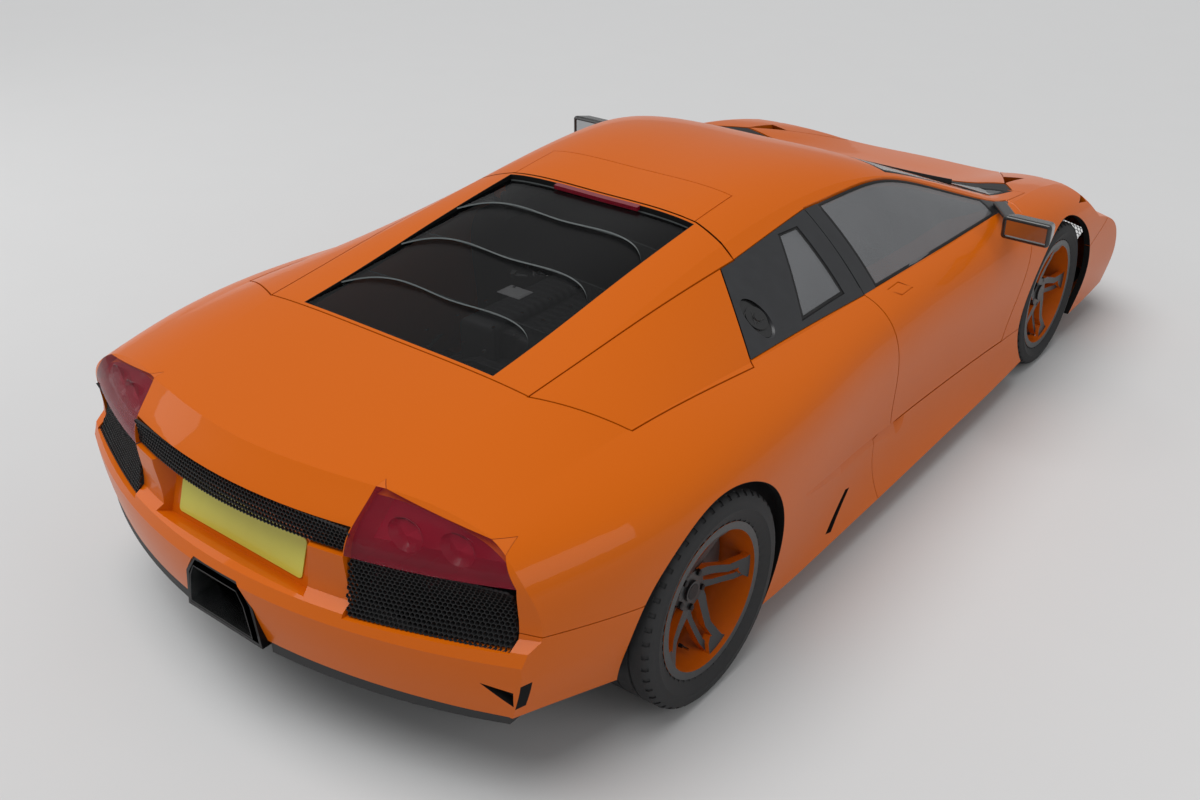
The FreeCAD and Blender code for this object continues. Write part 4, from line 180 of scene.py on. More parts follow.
frame_black = (0.020, 0.021, 0.023)
frame_worn = (0.045, 0.046, 0.048)

frame_finish = Finish("frame_paint")
mottle = frame_finish.noise(14.0)
frame_finish.vary(mottle, frame_black, frame_worn, smooth=0.40, rough=0.70)
frame_finish.grain(900.0, depth=0.0002)
dress(frame_finish, "chassis", "undertray")

# Suspension arms, knuckles and rear uprights: cast and machined alloy with a grey, slightly sandy skin.
# They are bolted to the frame, and carry the hubs.
cast_light = (0.36, 0.37, 0.38)
cast_dark = (0.20, 0.205, 0.21)

cast_finish = Finish("cast_alloy", Metallic=0.85)
sand = cast_finish.noise(260.0, detail=6.0)
cast_finish.vary(sand, cast_dark, cast_light, smooth=0.38, rough=0.63)
cast_finish.relief(sand, depth=0.0003)
dress(cast_finish, "front_arms", "rear_uprights", "knuckle_left", "knuckle_right")

# Brake discs and hubs: turned steel, with the fine rings that the pads leave.
# The disc's hat and the hub are one CAD node, which turns with the wheel.
axles = {"front": Vector((0.8175, -1.265, 0.3146)), "rear": Vector((0.8475, 1.400, 0.3291))}
disc_bright = (0.50, 0.50, 0.50)
disc_dull = (0.27, 0.27, 0.275)
disc_rings = 900.0

for end, axle in axles.items():
    disc_finish = Finish(f"{end}_disc_steel", Metallic=1.0)
    rings = disc_finish.node("ShaderNodeTexNoise", {"noise_dimensions": "1D"}, {
        "W": disc_finish.off_axle(axle) * disc_rings, "Detail": 4.0})
    disc_finish.vary(rings, disc_dull, disc_bright, smooth=0.25, rough=0.45)
    disc_finish.relief(rings, depth=0.0001)
    dress(disc_finish, f"{end}_hub_left", f"{end}_hub_right")

# Rims: five forged legs in satin dark grey, with orange pockets and barrel, lacquered before the face is masked.
# Each is one CAD node. Its faces that look sideways are grey, the rest orange, and the hub's recess is black.
rim_grey = (0.013, 0.0135, 0.015)
rim_grey_light = (0.022, 0.023, 0.025)
pocket_black = (0.012, 0.012, 0.013)
paint_orange = (0.615, 0.121, 0.0010)
paint_deep = (0.545, 0.097, 0.0006)
rim_face_turn = 0.62
hub_recess = 0.062

for end, axle in axles.items():
    rim_finish = Finish(f"{end}_rim_lacquer", Coat_Weight=0.2, Coat_Roughness=0.2)
    cloud = rim_finish.noise(40.0)
    face = abs(rim_finish.facing("X")) > rim_face_turn
    recess = rim_finish.off_axle(axle) < hub_recess
    grey = rim_finish.blend(cloud, rim_grey, rim_grey_light)
    orange = rim_finish.blend(cloud, paint_orange, paint_deep)
    rim_finish.put(Base_Color=rim_finish.blend(recess, rim_finish.blend(face, orange, grey), pocket_black))
    rim_finish.gloss(cloud, smooth=0.30, rough=0.45)
    rim_finish.grain(1400.0, depth=0.00008)
    dress(rim_finish, f"{end}_rim_left", f"{end}_rim_right")

# Wheel bolts, centre cap and valve on each wheel. The bolts are black steel with a hexagon on the head, and the
# cap is a plain low dome. The valve is a bright stem with a black foot, by the foot of a leg.
sides = (("left", 1), ("right", -1))
rim_face_out = {"front": 0.072, "rear": 0.086}
bolt_count = 5
bolt_circle = 0.056
bolt_radius = 0.0105
bolt_depth = 0.010
bolt_taper = 0.85
bolt_seat = 0.012
hexagon_radius = 0.55 * bolt_radius
hexagon_depth = 1.05 * bolt_depth
cap_radius = 0.030
cap_depth = 0.012
round_taper = 0.8
valve_radius = 0.0045
valve_length = 0.034
valve_foot_radius = 1.5 * valve_radius
valve_foot_depth = 0.35 * valve_length
valve_circle = 0.190
valve_out = 0.060
valve_turn = math.radians(-173)
bolt_steel = (0.030, 0.030, 0.032)
chrome_white = (0.62, 0.63, 0.64)

bolt_finish = Finish("bolt_steel", Metallic=0.7)
speck = bolt_finish.noise(500.0)
bolt_finish.vary(speck, bolt_steel, rim_grey, smooth=0.30, rough=0.50)
chrome_finish = Finish("chrome", Metallic=1.0)
haze = chrome_finish.noise(300.0)
chrome_finish.vary(haze, chrome_white, disc_bright, smooth=0.05, rough=0.11)


def show(name, shape, finishes, body, smooth=False):
    """Makes a bmesh an object that rides on a body."""
    mesh = bpy.data.meshes.new(name)
    shape.to_mesh(mesh)
    shape.free()
    for finish in finishes:
        mesh.materials.append(finish.material)
    piece = bpy.data.objects.new(name, mesh)
    bpy.context.scene.collection.objects.link(piece)
    if smooth:
        mesh.shade_smooth()
    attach(piece, body)
    return piece


def cylinder(shape, radius, depth, matrix, segments, taper=1.0, material=0):
    """A round post from a plane up, along the matrix's own Z, narrowed at its top by the taper."""
    made = bmesh.ops.create_cone(shape, cap_ends=True, segments=segments, radius1=radius,
                                 radius2=radius * taper, depth=depth,
                                 matrix=matrix @ Matrix.Translation((0.0, 0.0, depth / 2)))
    for face in {face for vert in made["verts"] for face in vert.link_faces}:
        face.material_index = material


def outwards(sign, point):
    """A frame at a point, whose Z looks out of the car's side."""
    return Matrix.Translation(point) @ Matrix.Rotation(sign * math.pi / 2, 4, "Y")


wheels = [(end, side, sign, Vector((sign * axle.x, axle.y, axle.z)))
          for end, axle in axles.items() for side, sign in sides]
for end, side, sign, middle in wheels:
    shape = bmesh.new()
    seat = middle + Vector((sign * (rim_face_out[end] - bolt_seat), 0.0, 0.0))
    for k in range(bolt_count):
        turn = Matrix.Rotation(2 * math.pi * (k + 0.5) / bolt_count, 4, "X")
        spot = outwards(sign, seat + turn @ Vector((0.0, 0.0, bolt_circle)))
        cylinder(shape, bolt_radius, bolt_depth, spot, 18, bolt_taper)
        cylinder(shape, hexagon_radius, hexagon_depth, spot, 6)
    cylinder(shape, cap_radius, cap_depth, outwards(sign, seat), 36, round_taper)
    stem = middle + Matrix.Rotation(valve_turn, 3, "X") @ Vector((0.0, 0.0, valve_circle))
    stem.x += sign * valve_out
    cylinder(shape, valve_radius, valve_length, outwards(sign, stem), 14, round_taper, material=1)
    cylinder(shape, valve_foot_radius, valve_foot_depth, outwards(sign, stem), 14, round_taper)
    show(f"wheel_bolts_{end}_{side}", shape, [bolt_finish, chrome_finish], f"wheel_{end}_{side}")

# Tyres: black rubber moulded in a ring, with round grooves, slots in the shoulders and a raised line on the wall.
# Each is spun from its section, and sits on its rim's beads.
tyre_black = (0.016, 0.016, 0.017)
tyre_grey = (0.030, 0.030, 0.031)
tyre_half = {"front": 0.1225, "rear": 0.1675}
rim_half = {"front": 0.1075, "rear": 0.1515}
bead_radius = 0.234
tread_edge = 0.025
groove_places = (0.72, 0.30)
groove_top = 0.0045
groove_foot = 0.0035
groove_sink = 0.006
crown_drop = 0.003
tyre_steps = 144
slot_every = 3
slot_sink = 0.005
slot_outer = 0.010
slot_inner = 0.026
crease = math.radians(35)
# How far out past the rim's edge, and how far up past its bead.
bead_line = ((-0.014, -0.004), (-0.004, 0.001), (0.001, 0.010))
# How far in from the widest place, and how far up the wall as a share.
wall_line = ((0.0035, 0.32), (0.0015, 0.43), (0.0, 0.45), (0.0, 0.49), (0.0012, 0.51), (0.0025, 0.66),
             (0.0080, 0.84))
# How far in from the widest place, and how far down from the tread.
shoulder_line = ((0.0150, 0.0065), (tread_edge, 0.0030))

tyre_finish = Finish("tyre_rubber", Specular_IOR_Level=0.35)
dust = tyre_finish.noise(60.0, detail=5.0)
tyre_finish.vary(dust, tyre_black, tyre_grey, smooth=0.62, rough=0.77)
tyre_finish.grain(1800.0, depth=0.00015)


def tyre_line(end, radius):
    """Half a tyre's section, from the bead out to the middle of the tread, as distances out and up."""
    half = tyre_half[end]
    line = [(rim_half[end] + out, bead_radius + up) for out, up in bead_line]
    line += [(half - inward, bead_radius + share * (radius - bead_radius)) for inward, share in wall_line]
    line += [(half - inward, radius - down) for inward, down in shoulder_line]
    for place in groove_places:
        groove = place * (half - tread_edge)
        top = radius - crown_drop * (groove / half)
        line += [(groove + groove_top, top), (groove + groove_foot, top - groove_sink),
                 (groove - groove_foot, top - groove_sink), (groove - groove_top, top)]
    return line + [(0.0, radius)]


for end, side, sign, middle in wheels:
    shape = bmesh.new()
    line = tyre_line(end, middle.z)
    whole = line + [(-out, up) for out, up in reversed(line[:-1])]
    verts = [shape.verts.new((out, 0.0, -up)) for out, up in whole]
    edges = [shape.edges.new(pair) for pair in zip(verts, verts[1:])]
    bmesh.ops.spin(shape, geom=verts + edges, cent=(0, 0, 0), axis=(1, 0, 0), angle=2 * math.pi,
                   steps=tyre_steps, use_merge=True)
    bmesh.ops.remove_doubles(shape, verts=shape.verts, dist=0.00001)
    bmesh.ops.recalc_face_normals(shape, faces=shape.faces)
    slots = []
    for face in shape.faces:
        centre = face.calc_center_median()
        inward = tyre_half[end] - abs(centre.x)
        step = round(math.atan2(centre.y, -centre.z) / (2 * math.pi) * tyre_steps - 0.5)
        if slot_outer < inward < slot_inner and step % slot_every == 0:
            slots.append(face)
    sunk = bmesh.ops.extrude_face_region(shape, geom=slots)
    for vert in sunk["geom"]:
        if isinstance(vert, bmesh.types.BMVert):
            vert.co += Vector((0.0, -vert.co.y, -vert.co.z)).normalized() * slot_sink
    bmesh.ops.delete(shape, geom=slots, context="FACES_ONLY")
    bmesh.ops.translate(shape, verts=shape.verts, vec=middle)
    tyre = show(f"tyre_{end}_{side}", shape, [tyre_finish], f"wheel_{end}_{side}", smooth=True)
    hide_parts(f"{end}_tyre_{side}")
    hard = tyre.modifiers.new("creases", "EDGE_SPLIT")
    hard.split_angle = crease

# Engine: a cast block with ribbed dark covers, seen dimly between the rear panes, with a blank plate, brackets
# and bolts. The CAD block stays, and the small parts are fixed on its top.
engine_black = (0.028, 0.029, 0.031)
engine_grey = (0.085, 0.087, 0.090)
label_grey = (0.62, 0.63, 0.64)
rib_depth = 0.002
label_place = (0.179, 0.885)
# Each step's length, width and height above the block.
label_steps = ((0.100, 0.074, 0.0012), (0.086, 0.060, 0.0030))
label_thick = 0.003
# Each bracket's place and turn.
brackets = ((0.262, 0.770, 0.5), (0.007, 0.725, -0.4), (0.275, 0.668, 0.2), (0.205, 0.705, -0.2))
bracket_size = (0.062, 0.016, 0.006)
bracket_up = 0.004
lug_size = (0.016, 0.034, 0.020)
lug_shift = Vector((0.018, 0.010, 0.006))
bolt_rows = (0.72, 0.86, 1.00, 1.14, 1.28, 1.42, 1.56)
bolt_lines = (-0.205, -0.045, 0.045, 0.205)
cover_bolt_radius = 0.0065
cover_bolt_depth = 0.006
cover_bolt_sink = 0.001

engine_finish = Finish("engine_castings", Metallic=0.5)
grain = engine_finish.noise(180.0, detail=5.0)
ribs = engine_finish.waves("Y", 9.0)
engine_finish.vary(grain, engine_black, engine_grey, smooth=0.35, rough=0.65)
engine_finish.relief(grain * 0.2 + ribs, rib_depth)
dress(engine_finish, "engine")
label_finish = Finish("engine_label_alloy", Metallic=0.2)
brush = label_finish.noise(200.0, detail=2.0, stretch=(1.0, 30.0, 1.0))
label_finish.vary(brush, label_grey, chrome_white, smooth=0.40, rough=0.60)


def round_edges(shape, edges, width, segments):
    bmesh.ops.bevel(shape, geom=edges, offset=width, segments=segments, profile=0.5, affect="EDGES",
                    material=-1)


def block(shape, size, place, bevel=0.0, segments=2, turn=Matrix.Identity(4)):
    """A block with rounded edges, its middle at a place."""
    made = bmesh.ops.create_cube(shape, size=1.0,
                                 matrix=Matrix.Translation(place) @ turn @ Matrix.Diagonal((*size, 1.0)))
    if bevel:
        edges = list({edge for vert in made["verts"] for edge in vert.link_edges})
        round_edges(shape, edges, bevel, segments)


engine_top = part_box("engine")[1].z
shape = bmesh.new()
for length, width, up in label_steps:
    block(shape, (length, width, label_thick), (*label_place, engine_top + up), bevel=0.001)
show("engine_label", shape, [label_finish], "root")
shape = bmesh.new()
for x, y, turn in brackets:
    twist = Matrix.Rotation(turn, 4, "Z")
    block(shape, bracket_size, (x, y, engine_top + bracket_up), bevel=0.0015, turn=twist)
    block(shape, lug_size, Vector((x, y, engine_top)) + lug_shift, bevel=0.0015, turn=twist)
show("engine_brackets", shape, [chrome_finish], "root")
shape = bmesh.new()
for y in bolt_rows:
    for x in bolt_lines:
        foot = Matrix.Translation((x, y, engine_top - cover_bolt_sink))
        cylinder(shape, cover_bolt_radius, cover_bolt_depth, foot, 6)
show("engine_bolts", shape, [chrome_finish], "root")

# Silencer and pipes: stainless steel, straw-coloured in places with heat, behind a wide outlet in a black
# surround. The outlet's faces that look towards its own middle are its bright mouth.
steel_light = (0.42, 0.41, 0.39)
steel_straw = (0.34, 0.27, 0.17)
outlet_black = (0.020, 0.020, 0.021)
surround_front = 2.12
tip_middle = 0.402
tip_bright = 2.215
mouth_least = -0.004

pipe_finish = Finish("exhaust_steel", Metallic=1.0)
heat = pipe_finish.noise(7.0)
surround = pipe_finish.along("Y") > surround_front
steel = pipe_finish.blend(heat, steel_light, steel_straw)
pipe_finish.put(Base_Color=pipe_finish.blend(surround, steel, outlet_black))
pipe_finish.gloss(heat, smooth=0.22, rough=0.42)
pipe_finish.grain(400.0, depth=0.0001, stretch=(1.0, 8.0, 8.0))
dress(pipe_finish, "exhaust")
tip_finish = Finish("outlet_black_chrome", Metallic=1.0)
soot = tip_finish.noise(30.0)
sideways = tip_finish.along("X") * tip_finish.facing("X")
upright = (tip_finish.along("Z") - tip_middle) * tip_finish.facing("Z")
mouth = ((sideways + upright) < mouth_least) * (tip_finish.along("Y") > tip_bright)
tip_finish.put(Base_Color=tip_finish.blend(mouth, outlet_black, chrome_white))
tip_finish.gloss(soot, smooth=0.12, rough=0.27)
dress(tip_finish, "exhaust_tip")

# Seats: two buckets in black leather over foam, sewn in channels across the middle, with raised sides.
# Each is one padded piece of seven pads that stands for half of the CAD seats.
leather_black = (0.020, 0.019, 0.019)
leather_worn = (0.036, 0.035, 0.034)
seat_middle = 0.370
pad_cuts = 9
pad_round = 0.28
pad_top = 0.9
channel_sink = 0.16
channel_sharp = 3
# Each pad's size, its place beside the seat's own middle, lean, crown and number of channels.
cushion = ((0.30, 0.44, 0.13), (0.0, -0.235, 0.275), 0.15, 0.25, 4)
seat_back = ((0.30, 0.56, 0.10), (0.0, 0.090, 0.560), 1.16, 0.25, 6)
head_rest = ((0.24, 0.15, 0.085), (0.0, 0.190, 0.790), 1.22, 0.35, 0)
seat_pads = [cushion, seat_back, head_rest]
for across in (-1, 1):
    seat_pads.append(((0.095, 0.42, 0.16), (across * 0.186, -0.235, 0.285), 0.12, 0.3, 0))
    seat_pads.append(((0.095, 0.44, 0.13), (across * 0.182, 0.060, 0.535), 1.16, 0.3, 0))

leather_finish = Finish("seat_leather", Specular_IOR_Level=0.45)
wear = leather_finish.noise(9.0)
leather_finish.vary(wear, leather_black, leather_worn, smooth=0.42, rough=0.62)
leather_finish.relief(leather_finish.cells(420.0), depth=0.0004)


def pad(shape, size, place, lean, crown, channels):
    """A stuffed block: a cube cut into a grid, rounded, crowned and drawn in along its sewn channels."""
    before = set(shape.verts)
    made = bmesh.ops.create_cube(shape, size=2.0)
    edges = list({edge for vert in made["verts"] for edge in vert.link_edges})
    bmesh.ops.subdivide_edges(shape, edges=edges, cuts=pad_cuts, use_grid_fill=True)
    verts = [vert for vert in shape.verts if vert not in before]
    for vert in verts:
        u, v, w = vert.co
        vert.co.x = u * math.sqrt(1 - pad_round * (v * v + w * w) / 2)
        vert.co.y = v * math.sqrt(1 - pad_round * (u * u + w * w) / 2)
        vert.co.z = w * math.sqrt(1 - pad_round * (u * u + v * v) / 2)
        vert.co.z += crown * max(w, 0) * (1 - u * u) * (1 - v * v)
        if channels and w > pad_top:
            groove = abs(math.sin(channels * math.pi * (v + 1) / 2))
            vert.co.z -= channel_sink * (1 - min(1.0, groove * channel_sharp)) * (1 - u * u)
    matrix = (Matrix.Translation(place) @ Matrix.Rotation(lean, 4, "X")
              @ Matrix.Diagonal((size[0] / 2, size[1] / 2, size[2] / 2, 1.0)))
    bmesh.ops.transform(shape, matrix=matrix, verts=verts)


for side, sign in sides:
    shape = bmesh.new()
    for size, (across, y, z), lean, crown, channels in seat_pads:
        pad(shape, size, (sign * seat_middle + across, y, z), lean, crown, channels)
    seat = show(f"seat_{side}", shape, [leather_finish], "root", smooth=True)
    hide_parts("seats")
    soft = seat.modifiers.new("soft", "SUBSURF")
    soft.levels = soft.render_levels = 1

# Dashboard, console and steering wheel: black leather stretched over moulded carriers.
# The dashboard's hide is duller than the seats', so that it doesn't shine in the windscreen.
dash_black = (0.018, 0.018, 0.019)

dash_finish = Finish("dash_leather")
hide = dash_finish.noise(11.0)
dash_finish.vary(hide, dash_black, leather_worn, smooth=0.50, rough=0.70)
dash_finish.relief(dash_finish.cells(500.0), depth=0.0003)
dress(dash_finish, "dashboard")
dress(leather_finish, "steering_wheel")

# Painted body: aluminium and composite panels in a clear-coated orange with fine flake and a faint orange peel.
# The wheel arches, corner vents and sill slashes are lined in black, as are the frame round the engine lid's
# panes and the doors' inner sides.
liner_black = (0.010, 0.010, 0.010)
paint_rough = 0.38
paint_coat = 0.30
flake_scale = 2600.0
flake_share = 0.35
arch_gap = 0.0315
vent_height = (0.340, 0.428)
vent_front = 2.05
vent_inner = 0.78
vent_turn = 0.35
slash_height = (0.140, 0.255)
slash_length = (0.47, 0.74)
slash_turn = 0.3
lid_frame_half = 0.3885
lid_frame_length = (0.6585, 1.606)
door_inner_turn = -0.25


def body_paint(name):
    """The orange paint. Gives the finish and the field of its colour."""
    finish = Finish(name, Coat_Roughness=0.03, Specular_IOR_Level=0.08)
    flake = finish.cells(flake_scale, "Color")
    sparkle = finish.node("ShaderNodeSeparateColor", inputs={0: flake}) * flake_share
    return finish, finish.blend(sparkle, paint_orange, paint_deep)


def line_black(finish, colour, mask, black, rougher):
    """Puts a black, rougher lining without a coat where the mask is 1, and paint elsewhere."""
    finish.put(Base_Color=finish.blend(mask, colour, black), Roughness=mask * rougher + paint_rough,
               Coat_Weight=(1.0 - mask) * paint_coat)


def between(finish, axis, low, high):
    """1 where a place along an axis lies between two values."""
    place = finish.along(axis)
    return (place > low) * (place < high)


paint_finish, colour = body_paint("orange_paint")
arch_front, arch_rear = [paint_finish.off_axle(axle) < axle.z + arch_gap for axle in axles.values()]
corner_vent = (between(paint_finish, "Z", *vent_height) * (paint_finish.along("Y") > vent_front)
               * (abs(paint_finish.along("X")) > vent_inner) * (paint_finish.facing("Y") < vent_turn))
slash = (between(paint_finish, "Z", *slash_height) * between(paint_finish, "Y", *slash_length)
         * (abs(paint_finish.facing("X")) < slash_turn))
line_black(paint_finish, colour, arch_front | arch_rear | corner_vent | slash, liner_black, rougher=0.4)
paint_finish.grain(120.0, depth=0.00006, detail=2.0)
dress(paint_finish, "front_bumper", "front_fenders", "roof", "side_sills", "rear_body", "rear_bumper", "bonnet",
      "intake_flap_left", "intake_flap_right")
lid_finish, colour = body_paint("lid_paint")
lid_frame = (abs(lid_finish.along("X")) < lid_frame_half) * between(lid_finish, "Y", *lid_frame_length)
line_black(lid_finish, colour, lid_frame, liner_black, rougher=0.2)
dress(lid_finish, "engine_lid")
for side, sign in sides:
    door_finish, colour = body_paint(f"door_paint_{side}")
    inner = (door_finish.facing("X") * sign) < door_inner_turn
    line_black(door_finish, colour, inner, dash_black, rougher=0.15)
    dress(door_finish, f"door_{side}")

# Black trim: pillar covers and quarter panels in satin dark grey moulding, and cowl, wipers and the lips under
# the tail in rough black. They are clipped to the body.
trim_dark = (0.014, 0.0145, 0.016)
trim_light = (0.024, 0.025, 0.028)

trim_finish = Finish("satin_trim", Coat_Weight=0.25, Coat_Roughness=0.25)
cloud = trim_finish.noise(25.0)
trim_finish.vary(cloud, trim_dark, trim_light, smooth=0.34, rough=0.46)
trim_finish.grain(1600.0, depth=0.00008)
dress(trim_finish, "quarter_panels", "window_trim_left", "window_trim_right")
matt_finish = Finish("matt_moulding")
tooth = matt_finish.noise(700.0, detail=4.0)
matt_finish.vary(tooth, liner_black, trim_dark, smooth=0.50, rough=0.70)
matt_finish.relief(tooth, depth=0.0002)
dress(matt_finish, "cowl", "rear_lips", "wipers")

# Glass: a laminated windscreen, tinted side windows whose grey is partly a painted reflection of the pale
# backdrop, and four near-black louvre panes over the engine, whose cut rear edges are pale: the glass's own green
# with a painted highlight. All are bonded or clipped in, a little below the paint.
# The side windows' grey base colours are partly tint and partly a painted reflection of the pale backdrop.
tint_and_reflection_grey = (0.155, 0.160, 0.168)
reflection_pale = (0.205, 0.210, 0.220)
screen_grey = (0.060, 0.065, 0.068)
pane_black = (0.0015, 0.0015, 0.0018)
# The panes' cut rear edges: the glass's own green, with a painted highlight where they catch the light.
edge_green_highlight = (0.30, 0.33, 0.33)
edge_turn = 0.6
edge_alpha = 0.95
pane_alpha = 0.40

side_glass = Finish("side_glass", Alpha=0.62, Coat_Weight=1.0, Coat_Roughness=0.01)
smear = side_glass.noise(5.0)
# Grey base colour under the coat: tint plus a painted reflection of the backdrop, paler in noise patches.
side_glass.vary(smear, tint_and_reflection_grey, reflection_pale, smooth=0.02, rough=0.05)
dress(side_glass, "door_glass_left", "door_glass_right", "quarter_glass")
screen_glass = Finish("windscreen_glass", Alpha=0.55, Coat_Weight=1.0, Coat_Roughness=0.01)
smear = screen_glass.noise(4.0)
screen_glass.vary(smear, screen_grey, tint_and_reflection_grey, smooth=0.02, rough=0.05)
dress(screen_glass, "windscreen")
pane_glass = Finish("engine_panes", Coat_Weight=0.25, Coat_Roughness=0.01, Specular_IOR_Level=0.3)
smear = pane_glass.noise(6.0)
# Rear-facing cut edges get the pale, nearly opaque colour: a painted highlight over the glass's own green.
cut_edge_highlight = pane_glass.facing("Y") > edge_turn
pane_glass.put(Base_Color=pane_glass.blend(cut_edge_highlight, pane_black, edge_green_highlight),
               Alpha=cut_edge_highlight * (edge_alpha - pane_alpha) + pane_alpha)
pane_glass.gloss(smear, smooth=0.03, rough=0.06)
dress(pane_glass, "lid_panes")

# Rubber seals round the side windows, and the black printed border of the windscreen.
# Each is the rim of the glass's own outer face, a little proud of it.
seal_width = 0.011
border_width = 0.030
seal_raise = 0.0012
seal_thick = 0.002
window_out_turn = 0.35
window_up_turn = 0.2
screen_up_turn = 0.5
flat_turn = math.radians(1.0)

seal_finish = Finish("seal_rubber", Specular_IOR_Level=0.3)
chalk = seal_finish.noise(200.0)
seal_finish.vary(chalk, liner_black, tyre_black, smooth=0.45, rough=0.65)


def glass_rim(node, width, body, is_outer):
    """A band along the edge of a pane's outer face, which is told by each face's normal."""
    shape = bmesh.new()
    shape.from_mesh(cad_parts[node].data)
    bmesh.ops.remove_doubles(shape, verts=shape.verts, dist=0.00001)
    inner = [face for face in shape.faces if not is_outer(face)]
    bmesh.ops.delete(shape, geom=inner, context="FACES")
    bmesh.ops.dissolve_limit(shape, angle_limit=flat_turn, verts=shape.verts, edges=shape.edges)
    shape.normal_update()
    rim = bmesh.ops.inset_region(shape, faces=shape.faces[:], thickness=width, use_boundary=True,
                                 use_even_offset=True)
    kept = set(rim["faces"])
    bmesh.ops.delete(shape, geom=[face for face in shape.faces if face not in kept], context="FACES")
    shape.normal_update()
    for vert, normal in [(vert, vert.normal.copy()) for vert in shape.verts]:
        vert.co += normal * seal_raise
    seal = show(f"{node}_seal", shape, [seal_finish], body, smooth=True)
    wall = seal.modifiers.new("wall", "SOLIDIFY")
    wall.thickness = seal_thick


def window_outer(sign):
    """A test for a side window's outer faces."""
    return lambda face: face.normal.x * sign > window_out_turn and face.normal.z > window_up_turn


for side, sign in sides:
    glass_rim(f"door_glass_{side}", seal_width, f"door_{side}_body", window_outer(sign))
glass_rim("quarter_glass", seal_width, "root",
          lambda face: window_outer(math.copysign(1, face.calc_center_median().x))(face))
glass_rim("windscreen", border_width, "root", lambda face: face.normal.z > screen_up_turn)

# Lamps: clear covers over black pods in front, dark crimson lenses at the rear, and a plain red bar at the engine
# lid's front edge. The tail lenses' solids wrap on to the deck and the side, and are body colour there.
lens_crimson = (0.260, 0.003, 0.018)
lens_dark = (0.130, 0.002, 0.010)
cover_dark = (0.05, 0.052, 0.055)
cover_grey = (0.20, 0.21, 0.22)
lens_alpha = 0.52
wrap_turns = (0.03, 0.44)
lens_back_turn = -0.2

head_finish = Finish("headlamp_cover", Coat_Weight=1.0, Coat_Roughness=0.01, Alpha=0.9)
tint = head_finish.noise(6.0)
head_finish.vary(tint, cover_dark, cover_grey, smooth=0.03, rough=0.08)
dress(head_finish, "head_lamps")
tail_finish = Finish("tail_lens", Coat_Weight=0.25, Coat_Roughness=0.01, Specular_IOR_Level=0.25)
tint = tail_finish.noise(8.0)
turn = tail_finish.facing("Y")
wrapped = (turn > wrap_turns[0]) * (turn < wrap_turns[1])
crimson = tail_finish.blend(tint, lens_crimson, lens_dark)
tail_finish.put(Base_Color=tail_finish.blend(wrapped, crimson, paint_orange),
                Roughness=tint * 0.05 + wrapped * 0.3 + 0.04,
                Alpha=(wrapped | lens_alpha) - (turn < lens_back_turn) * lens_alpha)
dress(tail_finish, "tail_lamps")
stop_finish = Finish("stop_lens", Coat_Weight=1.0, Coat_Roughness=0.02)
prism = stop_finish.waves("X", 40.0)
stop_finish.vary(prism, lens_dark, lens_crimson, smooth=0.08, rough=0.13)
dress(stop_finish, "stop_lamp")

# Tail lamp insides: on each side a red pod with two dark bowl reflectors, each with a three-bladed cup.
# They are moulded in plated plastic and sit behind the lens.
pod_red = (0.300, 0.012, 0.030)
cup_red = (0.420, 0.050, 0.080)
bowl_black = (0.016, 0.001, 0.002)
pod_corners = ((0.452, 0.700), (0.848, 0.706), (0.800, 0.776), (0.470, 0.826))
pod_depth = 0.080
pod_wall = 0.003
# Each bowl's place across and up, and its radius.
bowls = ((0.560, 0.752, 0.050), (0.694, 0.744, 0.048))
lens_top = 0.78
bowl_behind = 0.050
bowl_depth = 0.030
bowl_foot = 0.45
bowl_toe = 0.22
bowl_wall = 0.0015
blade_span = 0.80
blade_tip = 0.10
blade_depth = 0.014
blade_up = 0.004
blade_rim = 0.4
blade_waist = 0.42
fit_rounds = 6
fit_slack = -0.002
fit_fewest = 40


def outer_face(node, towards, below=math.inf):
    """A CAD node's outer face as a smooth function of place across and height, fitted to its outer points."""
    points = numpy.array([vert.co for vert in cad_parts[node].data.vertices if vert.co.z < below])

    def terms(x, z):
        return numpy.stack([x * 0 + 1, x * x, z, z * z, x * x * z, x ** 4, x * x * z * z], -1)

    for _ in range(fit_rounds):
        sheet = terms(points[:, 0], points[:, 2])
        weights = numpy.linalg.lstsq(sheet, points[:, 1], rcond=None)[0]
        outer = (points[:, 1] - sheet @ weights) * towards > fit_slack
        if outer.sum() > fit_fewest:
            points = points[outer]
    return lambda x, z: float(terms(numpy.float64(x), numpy.float64(z)) @ weights)


